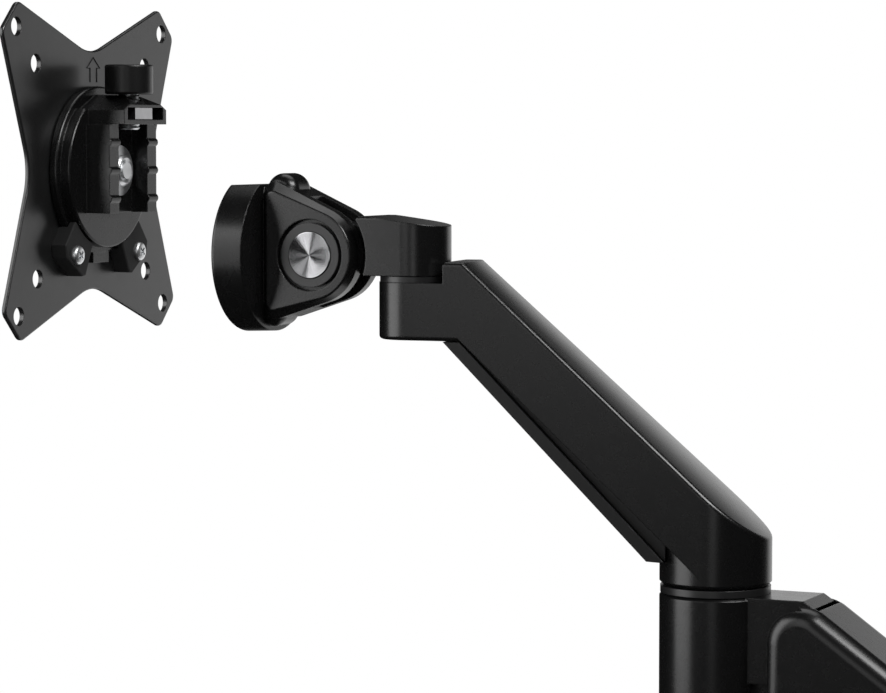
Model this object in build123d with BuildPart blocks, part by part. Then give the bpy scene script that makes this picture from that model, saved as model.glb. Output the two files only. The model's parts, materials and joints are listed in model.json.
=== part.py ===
# Desk-clamp monitor arm: clamp and base, lower gas-spring arm, elbow hub, rigid upper arm,
# swivel link, tilting head and the quick-release screen plate, which is shown taken off.
# Millimetres. Origin on the base's swivel axis at desk-top level, +Z up, the head towards -X.
from math import atan2, cos, degrees, hypot, radians, sin, sqrt, tan
import os

from build123d import *

os.makedirs("parts", exist_ok=True)

# Fits and clearances
running_fit = 0.05      # radial, a pin that turns in its bore
seat_gap = 0.05         # round pieces set into a recess of the same body
side_gap = 0.3          # flat faces that slide past each other
swing_gap = 0.6         # faces that sweep past each other
washer_play = 0.1       # lost height over a thrust washer

# Base plate, post and clamp
pad_thick = 1.5
pad_inset = 3.0
base_length = 104.0
base_width = 86.0
base_thick = 12.0
base_corner = 14.0
base_rear = 42.0        # swivel axis to the rear face
base_edge_round = 3.0
post_radius = 19.0
post_foot_radius = 26.0
post_foot_height = 5.0
post_height = 32.0      # base plate to the turret's thrust face
post_spigot_radius = 13.0
post_screw_radius = 4.0
post_screw_head_radius = 8.0
post_screw_head_height = 5.0
post_screw_depth = 22.0
turret_washer_thick = 1.5
bracket_width = 56.0
bracket_thick = 5.0
bracket_bend = 6.0
bracket_edge_round = 0.8
bracket_drop = 106.0    # desk top to the lower leg's underside
bracket_tip = 18.0      # lower leg past the spindle axis
bracket_screw_radius = 2.5
bracket_screw_length = 16.0
bracket_screw_head_radius = 4.5
bracket_screw_head_height = 4.0
bracket_screw_spacing = 38.0
nut_radius = 8.0
nut_flange_radius = 11.5
nut_flange_thick = 3.0
nut_below = 7.0
spindle_radius = 5.0
spindle_tip_radius = 4.0
spindle_tip_length = 6.0
desk_rest = 25.0        # desk thickness that the jaw is drawn at
jaw_up_travel = 15.0
jaw_radius = 24.0
jaw_thick = 4.0
jaw_boss_radius = 9.0
jaw_boss_height = 8.0
jaw_pad_thick = 2.0
jaw_pad_inset = 2.0
handle_radius = 15.0
handle_lobe_radius = 5.5
handle_lobe_pitch = 16.0
handle_lobes = 6
handle_height = 15.0
handle_edge_round = 2.0

# Lower spring arm
pivot_rise = 78.0       # desk top to the lower arm pivot
pivot_reach = 42.0      # swivel axis to arm pivot, in the turret and in the elbow hub alike
pivot_drop = 19.9       # hub top to arm pivot
arm_span = 220.0        # pivot to pivot
arm_rest = 35.3         # slope in the rest pose, degrees
arm_lowest = 0.0
arm_highest = 65.0
swing_margin = 5.0      # degrees past the end of the swing that stay clear
link_offset = 18.0      # arm pivot to parallel-link pivot
anchor_offset = 30.0    # lower arm pivot to spring anchor
offset_lean = 32.5      # lean of both offsets from the vertical, the middle of the swing
cover_width = 34.0
cover_wall = 2.5
cover_web = 3.0
cover_top = 13.0        # pivot line to the top face
cover_depth = 40.5      # pivot line to the bottom edge
cover_end_reach = 19.9  # upper pivot to the upright end edge
cover_end_drop = 15.6   # pivot line to where the upright edge ends
cover_foot_start = 22.0
cover_tail = 14.0       # past the lower pivot
cover_corner = 12.5
cover_edge_round = 6.0
notch_overhang = 11.4   # top web past the upper pivot
tail_notch = 14.0       # top web short of the lower pivot
undercover_thick = 2.5
undercover_raise = 1.5
undercover_start = 26.0
undercover_end = 12.0   # short of the lower pivot
undercover_rib = 7.0
channel_wall = 2.9
channel_round = 9.0
channel_web = 3.0
channel_web_inset = 45.0
tongue_width = 22.0
nose_radius = 8.8
pivot_pin_radius = 4.0
bush_wall = 2.0
lobe_width = 16.0
lobe_radius = 6.0
link_wall = 2.6
link_height = 9.0
link_ear_radius = 5.4
link_web = 1.8
link_pin_radius = 2.5
rod_slot_width = 9.0
spring_radius = 7.0
spring_bore = 5.5
spring_rod_radius = 3.5
spring_end = 30.0       # upper pivot to the cylinder's pin
spring_length = 95.0
spring_guide = 10.0
spring_eye_width = 8.0
spring_eye_radius = 6.0
spring_pin_radius = 2.5
piston_length = 6.0
rod_inside = 33.0       # rod length inside the cylinder at rest
rod_eye_play = 0.4
rod_eye_wall = 2.0

# Turret and elbow hub
turret_radius = 20.0
turret_edge_round = 1.0
turret_cap_thick = 3.0
retainer_thick = 2.5
retainer_ledge = 3.0
retainer_play = 0.3
retainer_screw_radius = 3.0
retainer_screw_head_radius = 5.0
retainer_screw_head_height = 4.0
retainer_screw_depth = 10.0
hub_radius = 18.9
hub_height = 35.0
hub_straight = 26.5     # height of the straight part, above the bevel
hub_bevel_drop = 6.7
hub_bevel_inset = 4.0
hub_flat = 34.5         # hub axis to the end of the flat top
hub_slope = 33.0
hub_gap = 2.5
hub_chamfer = 1.1
heel_chamfer = 1.4
elbow_pin_radius = 9.0
elbow_pin_depth = 16.0
hub_recess_radius = 12.5
hub_recess_depth = 8.0

# Upper arm
elbow_turn = 8.8        # plan angle between lower and upper arm at rest
upper_span = 105.2      # elbow axis to head swivel axis
tip_radius = 12.4
tip_height = 19.6
step_rise = 7.3
step_wall = 13.4        # head swivel axis to the step
top_break = 19.8        # head swivel axis to where the top starts to fall
top_slope = 41.7
under_break = 19.9
under_slope = 42.7
under_start = -2.265     # elbow axis to where the underside starts to rise
upper_edge_round = 1.5
crown_bulge = 1.49       # middle of the upper arm's top above its edges at the heel
crown_share = 0.74      # part of that bulge that lies above the plain slope
tip_edge_round = 1.4
cable_slot_width = 12.0
cable_slot_start = 30.0
cable_slot_end = 26.0   # elbow axis to the slot's lower end
cover_break = 12.9      # head swivel axis to the start of the cable cover
cover_slope = 45.0
cover_blunt = 25.0      # elbow axis to the end of its straight underside
cover_blunt_drop = 4.5
lip_thick = 4.2
lip_inset = 2.0
neck_inset = 4.5
cable_cover_wall = 2.0

# Swivel link and tilting head
swivel_gap = 2.2
link_reach = 34.5       # head swivel axis to tilt axis
link_width = 24.8
link_below = 6.7        # tilt axis to the link's underside
link_top_head = 13.6
link_top_tail = 10.2
link_hollow = 21.5      # radius of its concave end about the tilt axis
link_tongue = 8.0
link_eye_radius = 14.4
tongue_fall = 55.0      # place on the eye, in degrees, where the tongue's top starts to fall
tongue_end = 8.5        # tilt axis to the tongue's top inside the link
link_edge_round = 1.2
swivel_pin_radius = 7.0
swivel_pin_depth = 9.0
tip_recess_radius = 10.4
tip_recess_depth = 6.0
swivel_retainer_thick = 2.0
head_end_radius = 16.9
head_corner_radius = 5.0
head_corner_back = 15.2
head_corner_rise = 20.0
head_corner_drop = 17.5
head_width = 25.0
head_bevel = 3.6        # depth of the sloped band round each cheek's flat
flat_end_radius = 15.5
flat_corner_radius = 2.6
flat_corner_back = 14.2
flat_corner_rise = 19.2
flat_corner_drop = 16.6
head_edge_round = 0.7
hump_radius = 6.0       # round humps where the cheeks meet the docking disc
hump_half = 7.5
hump_end_round = 4.0
hump_top_back = 14.2
hump_top_rise = 22.0
hump_low_back = 18.5
hump_low_drop = 19.4
head_slot = 9.6
head_slot_back = 3.5    # tilt axis to where the slot opens upwards
disc_front = 30.6       # tilt axis to the docking face
disc_thick = 11.6
disc_radius = 27.5
disc_draft = 0.4
disc_flat = 24.0
disc_edge_round = 1.2
cap_recess_radius = 12.4
cap_recess_depth = 2.2
cap_ring_radius = 11.1
cap_disc_radius = 8.0
cap_ring_thick = 1.9
cap_disc_thick = 2.4
tilt_bolt_radius = 4.0
tilt_head_radius = 6.8
tilt_head_thick = 2.8
friction_thick = 0.6
friction_radius = 11.5
dock_tongue_width = 17.2
dock_tongue_depth = 3.2
dock_tongue_top = 21.5
dock_tongue_bottom = 6.4
dock_tongue_round = 2.0
dock_screw_radius = 2.0
dock_screw_head_radius = 3.6
dock_screw_head_height = 1.8
dock_screw_spacing = 14.0
dock_screw_depth = 7.0

# Screen plate and quick-release bracket, drawn where the photo shows them
plate_off_gap = 63.0    # docking face to the plate's rear face
plate_lift = 28.6       # tilt axis to the plate's centre
plate_thick = 1.8
plate_tip_low = 48.6    # the X-shaped outline's two corner points
plate_tip_high = 59.0
plate_valley = 41.2
plate_valley_round = 22.0
plate_tip_round = 3.5
plate_edge_round = 0.6
screen_hole_radius = 3.3
screen_large = 100.0
screen_small = 75.0
slip_thick = 0.6
slip_radius = 29.0
flange_radius = 30.0
flange_top = 3.4
flange_round = 0.8
boss_radius = 27.6
boss_top = 7.3
boss_flat = 22.0
floor_height = 10.2     # plate to the pocket's floor
pocket_width = 20.0
rail_width = 6.5
rail_top = 16.8
rail_low = 15.0
rail_rib = 0.8
rail_rib_radius = 1.6
rail_rib_pitch = 10.0
hood_width = 29.6
hood_bottom = 16.4
hood_shoulder = 21.5
hood_top = 26.8
hood_ridge = 8.0
hood_brow = 23.4        # top of the hood's front face
hood_back = 16.0        # plate to where the roof reaches its ridge
hood_front = 22.0
nut_slot_low = 18.1
nut_slot_high = 22.4
nut_slot_width = 25.0
nut_slot_back = 8.8
lock_axis = 15.3        # plate to the lock screw's axis
lock_nut_width = 12.0
lock_nut_thick = 4.0
lock_screw_radius = 3.9
lock_tip = 14.5
knob_radius = 8.6
knob_low = 27.1
knob_high = 37.6
knob_edge_round = 0.8
lug_width = 11.0
lug_low = 33.0
lug_top = 3.3
block_top = 6.2
block_gap = 0.5
block_chamfer = 0.4
block_screw_y = 21.5
block_screw_z = 29.7
block_screw_radius = 2.0
block_screw_head_radius = 3.4
block_screw_head_height = 1.9
block_points = [
    (19.5, 16.5),
    (22.5, 18.6),
    (28.6, 26.0),
    (27.6, 30.5),
    (17.5, 37.3),
    (15.2, 37.0),
    (10.1, 26.1),
    (8.0, 20.0),
]
plate_bolt_radius = 3.0
plate_bolt_head_radius = 7.0
plate_bolt_head_thick = 1.0
plate_bolt_end = 14.4
plate_washer_radius = 9.0
plate_washer_thick = 1.2
plate_nut_radius = 5.8
plate_nut_thick = 2.6

# Places worked out from the sizes above
slope_cos = cos(radians(arm_rest))
slope_sin = sin(radians(arm_rest))
base_top = pad_thick + base_thick
post_top = base_top + post_height
turret_low = post_top + turret_washer_thick + washer_play
turret_top = pivot_rise + pivot_drop
spigot_top = turret_top - turret_cap_thick - retainer_screw_head_height - retainer_thick - pivot_drop / 2
low_x = -pivot_reach
low_z = pivot_rise
up_x = low_x - arm_span * slope_cos
up_z = low_z + arm_span * slope_sin
hub_x = up_x - pivot_reach
hub_top = up_z + pivot_drop
upper_z = hub_top + hub_gap
turn_cos = cos(radians(elbow_turn))
turn_sin = sin(radians(elbow_turn))
tip_x = hub_x - upper_span * turn_cos
tip_y = -upper_span * turn_sin
tip_bottom = (upper_span - under_break - under_start) * tan(radians(under_slope))
tip_top = tip_bottom + tip_height
step_top = tip_top + step_rise
link_z = upper_z + tip_top + swivel_gap
tilt_x = tip_x - link_reach
tilt_z = link_z + link_below
disc_x = tilt_x - disc_front
plate_x = disc_x - plate_off_gap
plate_z = tilt_z + plate_lift

tongue_half = tongue_width / 2
cover_half = cover_width / 2
channel_inner = tongue_half + side_gap
channel_outer = channel_inner + channel_wall
cover_inner_top = cover_top - cover_web
lobe_half = lobe_width / 2
link_inner = lobe_half + side_gap
link_outer = link_inner + link_wall
lean_sin = sin(radians(offset_lean))
lean_cos = cos(radians(offset_lean))
link_dx = -link_offset * lean_sin
link_dz = -link_offset * lean_cos
anchor_dx = -anchor_offset * lean_sin
anchor_dz = -anchor_offset * lean_cos
link_at = (link_dx, link_dz)
anchor_at = (anchor_dx, anchor_dz)
rest_lean = radians(arm_rest - offset_lean)
anchor_u = arm_span + anchor_offset * sin(rest_lean)
swing = radians(max(arm_highest - offset_lean, offset_lean - arm_lowest))
anchor_dip = anchor_offset * (1 - cos(swing)) / 2
spring_w = -anchor_offset + anchor_dip
bush_radius = pivot_pin_radius + running_fit + bush_wall

# Working planes
arm_plane = Plane(origin=(up_x, 0, up_z), x_dir=(slope_cos, 0, -slope_sin), z_dir=(0, -1, 0))
up_plane = Plane(origin=(up_x, 0, up_z), x_dir=(1, 0, 0), z_dir=(0, -1, 0))
low_plane = Plane(origin=(low_x, 0, low_z), x_dir=(1, 0, 0), z_dir=(0, -1, 0))
elbow = (hub_x, 0, upper_z)
upper_dir = (-turn_cos, -turn_sin, 0)
upper_side = Plane(origin=elbow, x_dir=upper_dir, z_dir=(-turn_sin, turn_cos, 0))
upper_plan = Plane(origin=elbow, x_dir=upper_dir, z_dir=(0, 0, 1))
tilt_plane = Plane(origin=(tilt_x, tip_y, tilt_z), x_dir=(1, 0, 0), z_dir=(0, -1, 0))
disc_plane = Plane(origin=(disc_x, tip_y, tilt_z), x_dir=(0, 1, 0), z_dir=(1, 0, 0))
plate_plane = Plane(origin=(plate_x, tip_y, plate_z), x_dir=(0, 1, 0), z_dir=(1, 0, 0))
plate_side = Plane(origin=(plate_x, tip_y, plate_z), x_dir=(1, 0, 0), z_dir=(0, -1, 0))


def level(x, y, z):
    return Plane(origin=(x, y, z), x_dir=(1, 0, 0), z_dir=(0, 0, 1))


def along_arm(u, w):
    return Plane(origin=arm_plane.from_local_coords((u, w, 0)), x_dir=(0, 1, 0), z_dir=arm_plane.x_dir)


def disc(plane, radius, height, at=(0, 0), mode=Mode.ADD):
    with BuildSketch(plane) as face:
        with Locations(at):
            Circle(radius)
    extrude(face.sketch, amount=height, mode=mode)


def across(plane, radius, low, high, at=(0, 0), mode=Mode.ADD):
    # A round piece square to a side plane; low and high are measured along +Y from the plane
    disc(plane.offset(-low), radius, low - high, at, mode)


def outline(plane, points, low, high, mode=Mode.ADD):
    # A prism on a plane from a closed outline, between two heights along the plane's normal
    with BuildSketch(plane.offset(low)) as face:
        with BuildLine():
            Polyline(*points, close=True)
        make_face()
    return extrude(face.sketch, amount=high - low, mode=mode)


def block(plane, x_low, x_high, y_low, y_high, low, high, mode=Mode.ADD):
    outline(plane, [(x_low, y_low), (x_high, y_low), (x_high, y_high), (x_low, y_high)], low, high, mode)


def crowned(plane, length, half_width):
    # All that lies under a crowned face; the plane cuts it across and points along it
    rise = crown_bulge * crown_share
    drop = rise - crown_bulge
    with BuildSketch(plane) as section:
        with BuildLine():
            ThreePointArc((-half_width, drop), (0, rise), (half_width, drop))
            Polyline((half_width, drop), (half_width, -length), (-half_width, -length), (-half_width, drop))
        make_face()
    return extrude(section.sketch, amount=2 * length, mode=Mode.PRIVATE)


def save(builder, name):
    builder.part.label = name
    export_step(builder.part, f"parts/{name}.step")


# Desk pad, base plate and its post
base_mid = base_rear - base_length / 2

with BuildPart() as desk_pad:
    with BuildSketch():
        with Locations((base_mid, 0)):
            RectangleRounded(base_length - 2 * pad_inset, base_width - 2 * pad_inset, base_corner - pad_inset)
    extrude(amount=pad_thick)
save(desk_pad, "desk_pad")

bracket_screw_z = pad_thick + base_thick / 2
bracket_screw_ys = [-bracket_screw_spacing / 2, bracket_screw_spacing / 2]
rear_plane = Plane(origin=(base_rear, 0, bracket_screw_z), x_dir=(0, 1, 0), z_dir=(1, 0, 0))

with BuildPart() as base_plate:
    with BuildSketch(Plane.XY.offset(pad_thick)):
        with Locations((base_mid, 0)):
            RectangleRounded(base_length, base_width, base_corner)
    extrude(amount=base_thick)
    fillet(base_plate.faces().sort_by(Axis.Z)[-1].edges(), base_edge_round)
    underside = level(0, 0, pad_thick)
    disc(underside, post_screw_radius + seat_gap, base_thick, mode=Mode.SUBTRACT)
    disc(underside, post_screw_head_radius + seat_gap, post_screw_head_height, mode=Mode.SUBTRACT)
    for screw_y in bracket_screw_ys:
        disc(rear_plane, bracket_screw_radius + seat_gap, -bracket_screw_length, (screw_y, 0), Mode.SUBTRACT)
save(base_plate, "base_plate")

with BuildPart() as base_post:
    disc(level(0, 0, base_top), post_foot_radius, post_foot_height)
    disc(level(0, 0, base_top), post_radius, post_height)
    chamfer(base_post.edges().filter_by(GeomType.CIRCLE).group_by(Axis.Z)[1], post_foot_height / 3)
    disc(level(0, 0, base_top), post_spigot_radius, spigot_top - base_top)
    disc(level(0, 0, base_top), post_screw_radius + seat_gap, post_screw_depth, mode=Mode.SUBTRACT)
    disc(level(0, 0, spigot_top), retainer_screw_radius + seat_gap, -retainer_screw_depth, mode=Mode.SUBTRACT)
save(base_post, "base_post")

with BuildPart() as post_screw:
    disc(level(0, 0, pad_thick), post_screw_head_radius, post_screw_head_height)
    disc(level(0, 0, pad_thick), post_screw_radius, base_thick + post_screw_depth - post_screw_radius)
    with BuildSketch(level(0, 0, pad_thick)):
        RegularPolygon(post_screw_radius * 0.75, 6)
    extrude(amount=post_screw_head_height / 2, mode=Mode.SUBTRACT)
save(post_screw, "post_screw")

# Clamp bracket under the desk edge, with its screws and threaded bush
leg_low = -bracket_drop
leg_top = leg_low + bracket_thick

with BuildPart() as clamp_bracket:
    with BuildSketch(Plane.XZ) as leg:
        with BuildLine():
            Polyline(
                (base_rear, base_top),
                (base_rear + bracket_thick, base_top),
                (base_rear + bracket_thick, leg_low),
                (-bracket_tip, leg_low),
                (-bracket_tip, leg_top),
                (base_rear, leg_top),
                close=True,
            )
        make_face()
        outer_bend = leg.vertices().sort_by_distance((base_rear + bracket_thick, leg_low, 0))[0]
        fillet(outer_bend, bracket_bend + bracket_thick)
        inner_bend = leg.vertices().sort_by_distance((base_rear, leg_top, 0))[0]
        fillet(inner_bend, bracket_bend)
    extrude(amount=bracket_width / 2, both=True)
    fillet(clamp_bracket.edges().filter_by(Axis.Z).group_by(Axis.X)[0], bracket_bend)
    side_edges = clamp_bracket.faces().filter_by(Axis.Y).edges()
    chamfer(side_edges.filter_by(Axis.Z) + side_edges.filter_by(Axis.X), bracket_edge_round)
    for screw_y in bracket_screw_ys:
        disc(rear_plane, bracket_screw_radius + side_gap, bracket_thick, (screw_y, 0), Mode.SUBTRACT)
    disc(level(0, 0, leg_low), nut_radius + seat_gap, bracket_thick, mode=Mode.SUBTRACT)
save(clamp_bracket, "clamp_bracket")

with BuildPart() as bracket_screws:
    for screw_y in bracket_screw_ys:
        screw_plane = rear_plane.offset(bracket_thick)
        disc(screw_plane, bracket_screw_head_radius, bracket_screw_head_height, (screw_y, 0))
        disc(screw_plane, bracket_screw_radius, -bracket_screw_length, (screw_y, 0))
        with BuildSketch(screw_plane.offset(bracket_screw_head_height)) as socket:
            with Locations((screw_y, 0)):
                RegularPolygon(bracket_screw_radius, 6)
        extrude(socket.sketch, amount=-bracket_screw_head_height / 2, mode=Mode.SUBTRACT)
save(bracket_screws, "bracket_screws")

with BuildPart() as clamp_nut:
    disc(level(0, 0, leg_top), nut_flange_radius, nut_flange_thick)
    disc(level(0, 0, leg_top), nut_radius, -bracket_thick - nut_below)
    disc(level(0, 0, leg_low - nut_below), spindle_radius + running_fit,
         bracket_thick + nut_below + nut_flange_thick, mode=Mode.SUBTRACT)
save(clamp_nut, "clamp_nut")

# Jaw, spindle and star handle
jaw_top = -desk_rest - jaw_pad_thick
jaw_low = jaw_top - jaw_thick
boss_low = jaw_low - jaw_boss_height
handle_top = leg_low - nut_below - jaw_up_travel - swing_gap

with BuildPart() as pressure_pad:
    disc(level(0, 0, jaw_top), jaw_radius - jaw_pad_inset, jaw_pad_thick)
save(pressure_pad, "pressure_pad")

with BuildPart() as pressure_plate:
    disc(level(0, 0, jaw_low), jaw_radius, jaw_thick)
    fillet(pressure_plate.edges().group_by(Axis.Z)[0], jaw_thick / 3)
    disc(level(0, 0, boss_low), jaw_boss_radius, jaw_boss_height)
    disc(level(0, 0, boss_low), spindle_tip_radius + running_fit, spindle_tip_length + side_gap,
         mode=Mode.SUBTRACT)
save(pressure_plate, "pressure_plate")

with BuildPart() as clamp_spindle:
    shoulder = level(0, 0, boss_low - side_gap)
    disc(shoulder, spindle_tip_radius, spindle_tip_length + side_gap)
    disc(shoulder, spindle_radius, handle_top - handle_height / 2 - boss_low + side_gap)
save(clamp_spindle, "clamp_spindle")

with BuildPart() as clamp_handle:
    with BuildSketch(level(0, 0, handle_top)):
        Circle(handle_radius)
        with PolarLocations(handle_lobe_pitch, handle_lobes):
            Circle(handle_lobe_radius)
    extrude(amount=-handle_height)
    handle_faces = clamp_handle.faces().filter_by(Axis.Z)
    fillet(handle_faces.edges(), handle_edge_round)
    bore_depth = handle_height / 2 + seat_gap
    disc(level(0, 0, handle_top), spindle_radius + seat_gap, -bore_depth, mode=Mode.SUBTRACT)
save(clamp_handle, "clamp_handle")

# Turret that swivels on the post, with its washer, retainer and cap
with BuildPart() as turret_washer:
    disc(level(0, 0, post_top), post_radius - seat_gap, turret_washer_thick)
    disc(level(0, 0, post_top), post_spigot_radius + side_gap, turret_washer_thick, mode=Mode.SUBTRACT)
save(turret_washer, "turret_washer")

retainer_radius = post_spigot_radius + retainer_ledge
turret_ledge = spigot_top - retainer_play
turret_well = retainer_radius + side_gap
turret_cut_angle = degrees(atan2(cover_top, -tail_notch)) - arm_highest - swing_margin
web_end_radius = pivot_drop / sin(radians(turret_cut_angle))
slot_edge = rod_slot_width / 2
rod_clear = spring_rod_radius + swing_gap
eye_half = spring_pin_radius + rod_eye_play + anchor_dip
eye_outer = eye_half + rod_eye_wall
rod_room = eye_outer + anchor_dip + swing_gap
steep_cos = cos(radians(arm_highest))
steep_sin = sin(radians(arm_highest))

with BuildPart() as base_turret:
    turret_height = turret_top - turret_low
    disc(level(0, 0, turret_low), turret_radius, turret_height)
    fillet(base_turret.edges().filter_by(GeomType.CIRCLE), turret_edge_round)
    with BuildSketch(low_plane) as neck:
        with BuildLine():
            Polyline(
                (0, -nose_radius),
                (pivot_reach, -nose_radius),
                (pivot_reach, pivot_drop),
                (0, pivot_drop),
                close=True,
            )
        make_face()
        with BuildLine():
            swept = CenterArc((0, 0), web_end_radius, turret_cut_angle, 180)
            Line(swept @ 1, swept @ 0)
        make_face(mode=Mode.SUBTRACT)
        Circle(nose_radius)
    extrude(amount=tongue_half, both=True)
    with BuildSketch(low_plane):
        Circle(nose_radius)
        with Locations(anchor_at):
            Circle(lobe_radius)
        with Locations((pivot_reach - post_spigot_radius, turret_low - low_z + lobe_radius)):
            Circle(lobe_radius)
        make_hull()
    extrude(amount=lobe_half, both=True)
    # Room for the spring's rod between the two lobes
    with BuildSketch(low_plane):
        with Locations(anchor_at):
            Circle(rod_room)
        with BuildLine():
            Polyline(
                (anchor_dx + rod_clear * steep_sin, anchor_dz + rod_clear * steep_cos),
                (anchor_dx + rod_clear * steep_sin - arm_span * steep_cos / 2,
                 anchor_dz + rod_clear * steep_cos + arm_span * steep_sin / 2),
                (anchor_dx - arm_span / 2, anchor_dz - rod_room),
                (anchor_dx, anchor_dz - rod_room),
                close=True,
            )
        make_face()
    extrude(amount=slot_edge, both=True, mode=Mode.SUBTRACT)
    disc(level(0, 0, turret_low), post_spigot_radius + running_fit, turret_height, mode=Mode.SUBTRACT)
    disc(level(0, 0, turret_ledge), turret_well, turret_top - turret_ledge, mode=Mode.SUBTRACT)
    across(low_plane, bush_radius + seat_gap, -tongue_half, tongue_half, mode=Mode.SUBTRACT)
    across(low_plane, link_pin_radius, -lobe_half, lobe_half, link_at, Mode.SUBTRACT)
    across(low_plane, spring_pin_radius + seat_gap, -lobe_half, lobe_half, anchor_at, Mode.SUBTRACT)
save(base_turret, "base_turret")

with BuildPart() as turret_screw:
    disc(level(0, 0, spigot_top), retainer_radius, retainer_thick)
    disc(level(0, 0, spigot_top + retainer_thick), retainer_screw_head_radius, retainer_screw_head_height)
    disc(level(0, 0, spigot_top), retainer_screw_radius, -retainer_screw_depth)
save(turret_screw, "turret_screw")

with BuildPart() as turret_cap:
    disc(level(0, 0, turret_top), turret_well - seat_gap, -turret_cap_thick)
    fillet(turret_cap.edges().group_by(Axis.Z)[-1], turret_cap_thick / 4)
save(turret_cap, "turret_cap")


# Pivot pins and bushes, alike at both ends of the lower arm
def pivot_bush(plane):
    across(plane, bush_radius, -tongue_half, tongue_half)
    across(plane, pivot_pin_radius + running_fit, -tongue_half, tongue_half, mode=Mode.SUBTRACT)


def link_stubs(plane):
    for low, high in ((-link_outer, -slot_edge), (slot_edge, link_outer)):
        across(plane, link_pin_radius, low, high, link_at)


with BuildPart() as lower_bush:
    pivot_bush(low_plane)
save(lower_bush, "lower_bush")

with BuildPart() as upper_bush:
    pivot_bush(up_plane)
save(upper_bush, "upper_bush")

with BuildPart() as lower_pivot_pin:
    across(low_plane, pivot_pin_radius, -channel_outer, channel_outer)
save(lower_pivot_pin, "lower_pivot_pin")

with BuildPart() as upper_pivot_pin:
    across(up_plane, pivot_pin_radius, -channel_outer, channel_outer)
save(upper_pivot_pin, "upper_pivot_pin")

with BuildPart() as lower_link_pins:
    link_stubs(low_plane)
save(lower_link_pins, "lower_link_pins")

with BuildPart() as upper_link_pins:
    link_stubs(up_plane)
save(upper_link_pins, "upper_link_pins")

with BuildPart() as spring_anchor_pin:
    across(low_plane, spring_pin_radius, -lobe_half, lobe_half, anchor_at)
save(spring_anchor_pin, "spring_anchor_pin")

# Lower arm: pressed channel, outer cover and undercover
arm_middle = arm_span / 2
spring_at = (spring_end, spring_w)

with BuildPart() as lower_arm_channel:
    with BuildSketch(arm_plane):
        with Locations((arm_middle, 0)):
            SlotCenterToCenter(arm_span, 2 * channel_round)
    extrude(amount=channel_outer, both=True)
    with BuildSketch(arm_plane):
        with Locations((spring_end, 0), (spring_end, spring_w)):
            Circle(channel_round - channel_web)
        make_hull()
    extrude(amount=channel_outer, both=True)
    past_u = 2 * arm_span
    block(arm_plane, -arm_span, past_u, -arm_span, arm_span, -channel_inner, channel_inner, Mode.SUBTRACT)
    web_low = channel_round - channel_web
    web_end = arm_span - channel_web_inset
    block(arm_plane, channel_web_inset, web_end, web_low, channel_round, -channel_outer, channel_outer)
    for pin_u in (0, arm_span):
        pin_at = (pin_u, 0)
        across(arm_plane, pivot_pin_radius + seat_gap, -channel_outer, channel_outer, pin_at, Mode.SUBTRACT)
    across(arm_plane, spring_pin_radius + seat_gap, -channel_outer, channel_outer, spring_at, Mode.SUBTRACT)
save(lower_arm_channel, "lower_arm_channel")


def end_edge_u(w):
    # The cover's upper end stands upright at rest
    return (-cover_end_reach - w * slope_sin) / slope_cos


cover_points = [
    (end_edge_u(cover_top), cover_top),
    (end_edge_u(-cover_end_drop), -cover_end_drop),
    (cover_foot_start, -cover_depth),
    (arm_span - cover_tail, -cover_depth),
    (arm_span + cover_tail, -cover_tail),
    (arm_span + cover_tail, cover_top),
]

with BuildPart() as lower_arm_cover:
    with BuildSketch(arm_plane) as side:
        with BuildLine():
            Polyline(*cover_points, close=True)
        make_face()
        fillet(side.vertices().sort_by(Axis.Y)[-2:], cover_corner)
    extrude(amount=cover_half, both=True)
    for face_index in (0, -1):
        side_face = lower_arm_cover.faces().sort_by(Axis.Y)[face_index]
        fillet(side_face.edges().filter_by(GeomType.CIRCLE), cover_edge_round)
    cover_inner = cover_half - cover_wall
    tail_u = arm_span - tail_notch
    block(arm_plane, -arm_span, past_u, -arm_span, cover_inner_top, -cover_inner, cover_inner, Mode.SUBTRACT)
    block(arm_plane, -arm_span, -notch_overhang, 0, arm_span, -channel_inner, channel_inner, Mode.SUBTRACT)
    block(arm_plane, tail_u, past_u, 0, arm_span, -channel_inner, channel_inner, Mode.SUBTRACT)
save(lower_arm_cover, "lower_arm_cover")

with BuildPart() as lower_arm_undercover:
    panel_half = cover_half - cover_wall - seat_gap
    panel_low = undercover_raise - cover_depth
    panel_top = panel_low + undercover_thick
    panel_end = arm_span - cover_tail - undercover_end
    rib_start = spring_end + channel_round
    block(arm_plane, undercover_start, panel_end, panel_low, panel_top, -panel_half, panel_half)
    for rib in (-1, 1):
        rib_edges = sorted((rib * panel_half, rib * (panel_half - undercover_thick)))
        block(arm_plane, rib_start, panel_end, panel_top, panel_top + undercover_rib, *rib_edges)
save(lower_arm_undercover, "lower_arm_undercover")

# Parallel link that keeps the elbow hub level
link_plane = Plane(origin=(up_x + link_dx, 0, up_z + link_dz), x_dir=arm_plane.x_dir, z_dir=(0, -1, 0))

with BuildPart() as parallel_link:
    with BuildSketch(link_plane):
        with Locations((arm_middle, 0)):
            Rectangle(arm_span, link_height)
        with Locations((0, 0), (arm_span, 0)):
            Circle(link_ear_radius)
    extrude(amount=link_outer, both=True)
    block(link_plane, -arm_span, 2 * arm_span, -arm_span, arm_span, -link_inner, link_inner, Mode.SUBTRACT)
    link_half_height = link_height / 2
    web_low = link_half_height - link_web
    block(link_plane, channel_web_inset, web_end, web_low, link_half_height, -link_outer, link_outer)
    for pin_u in (0, arm_span):
        across(link_plane, link_pin_radius + running_fit, -link_outer, link_outer, (pin_u, 0), Mode.SUBTRACT)
save(parallel_link, "parallel_link")

# Gas spring
cylinder_start = spring_end + spring_eye_radius + seat_gap
cylinder_end = cylinder_start + spring_length
eye_thick = spring_eye_width / 2

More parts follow.
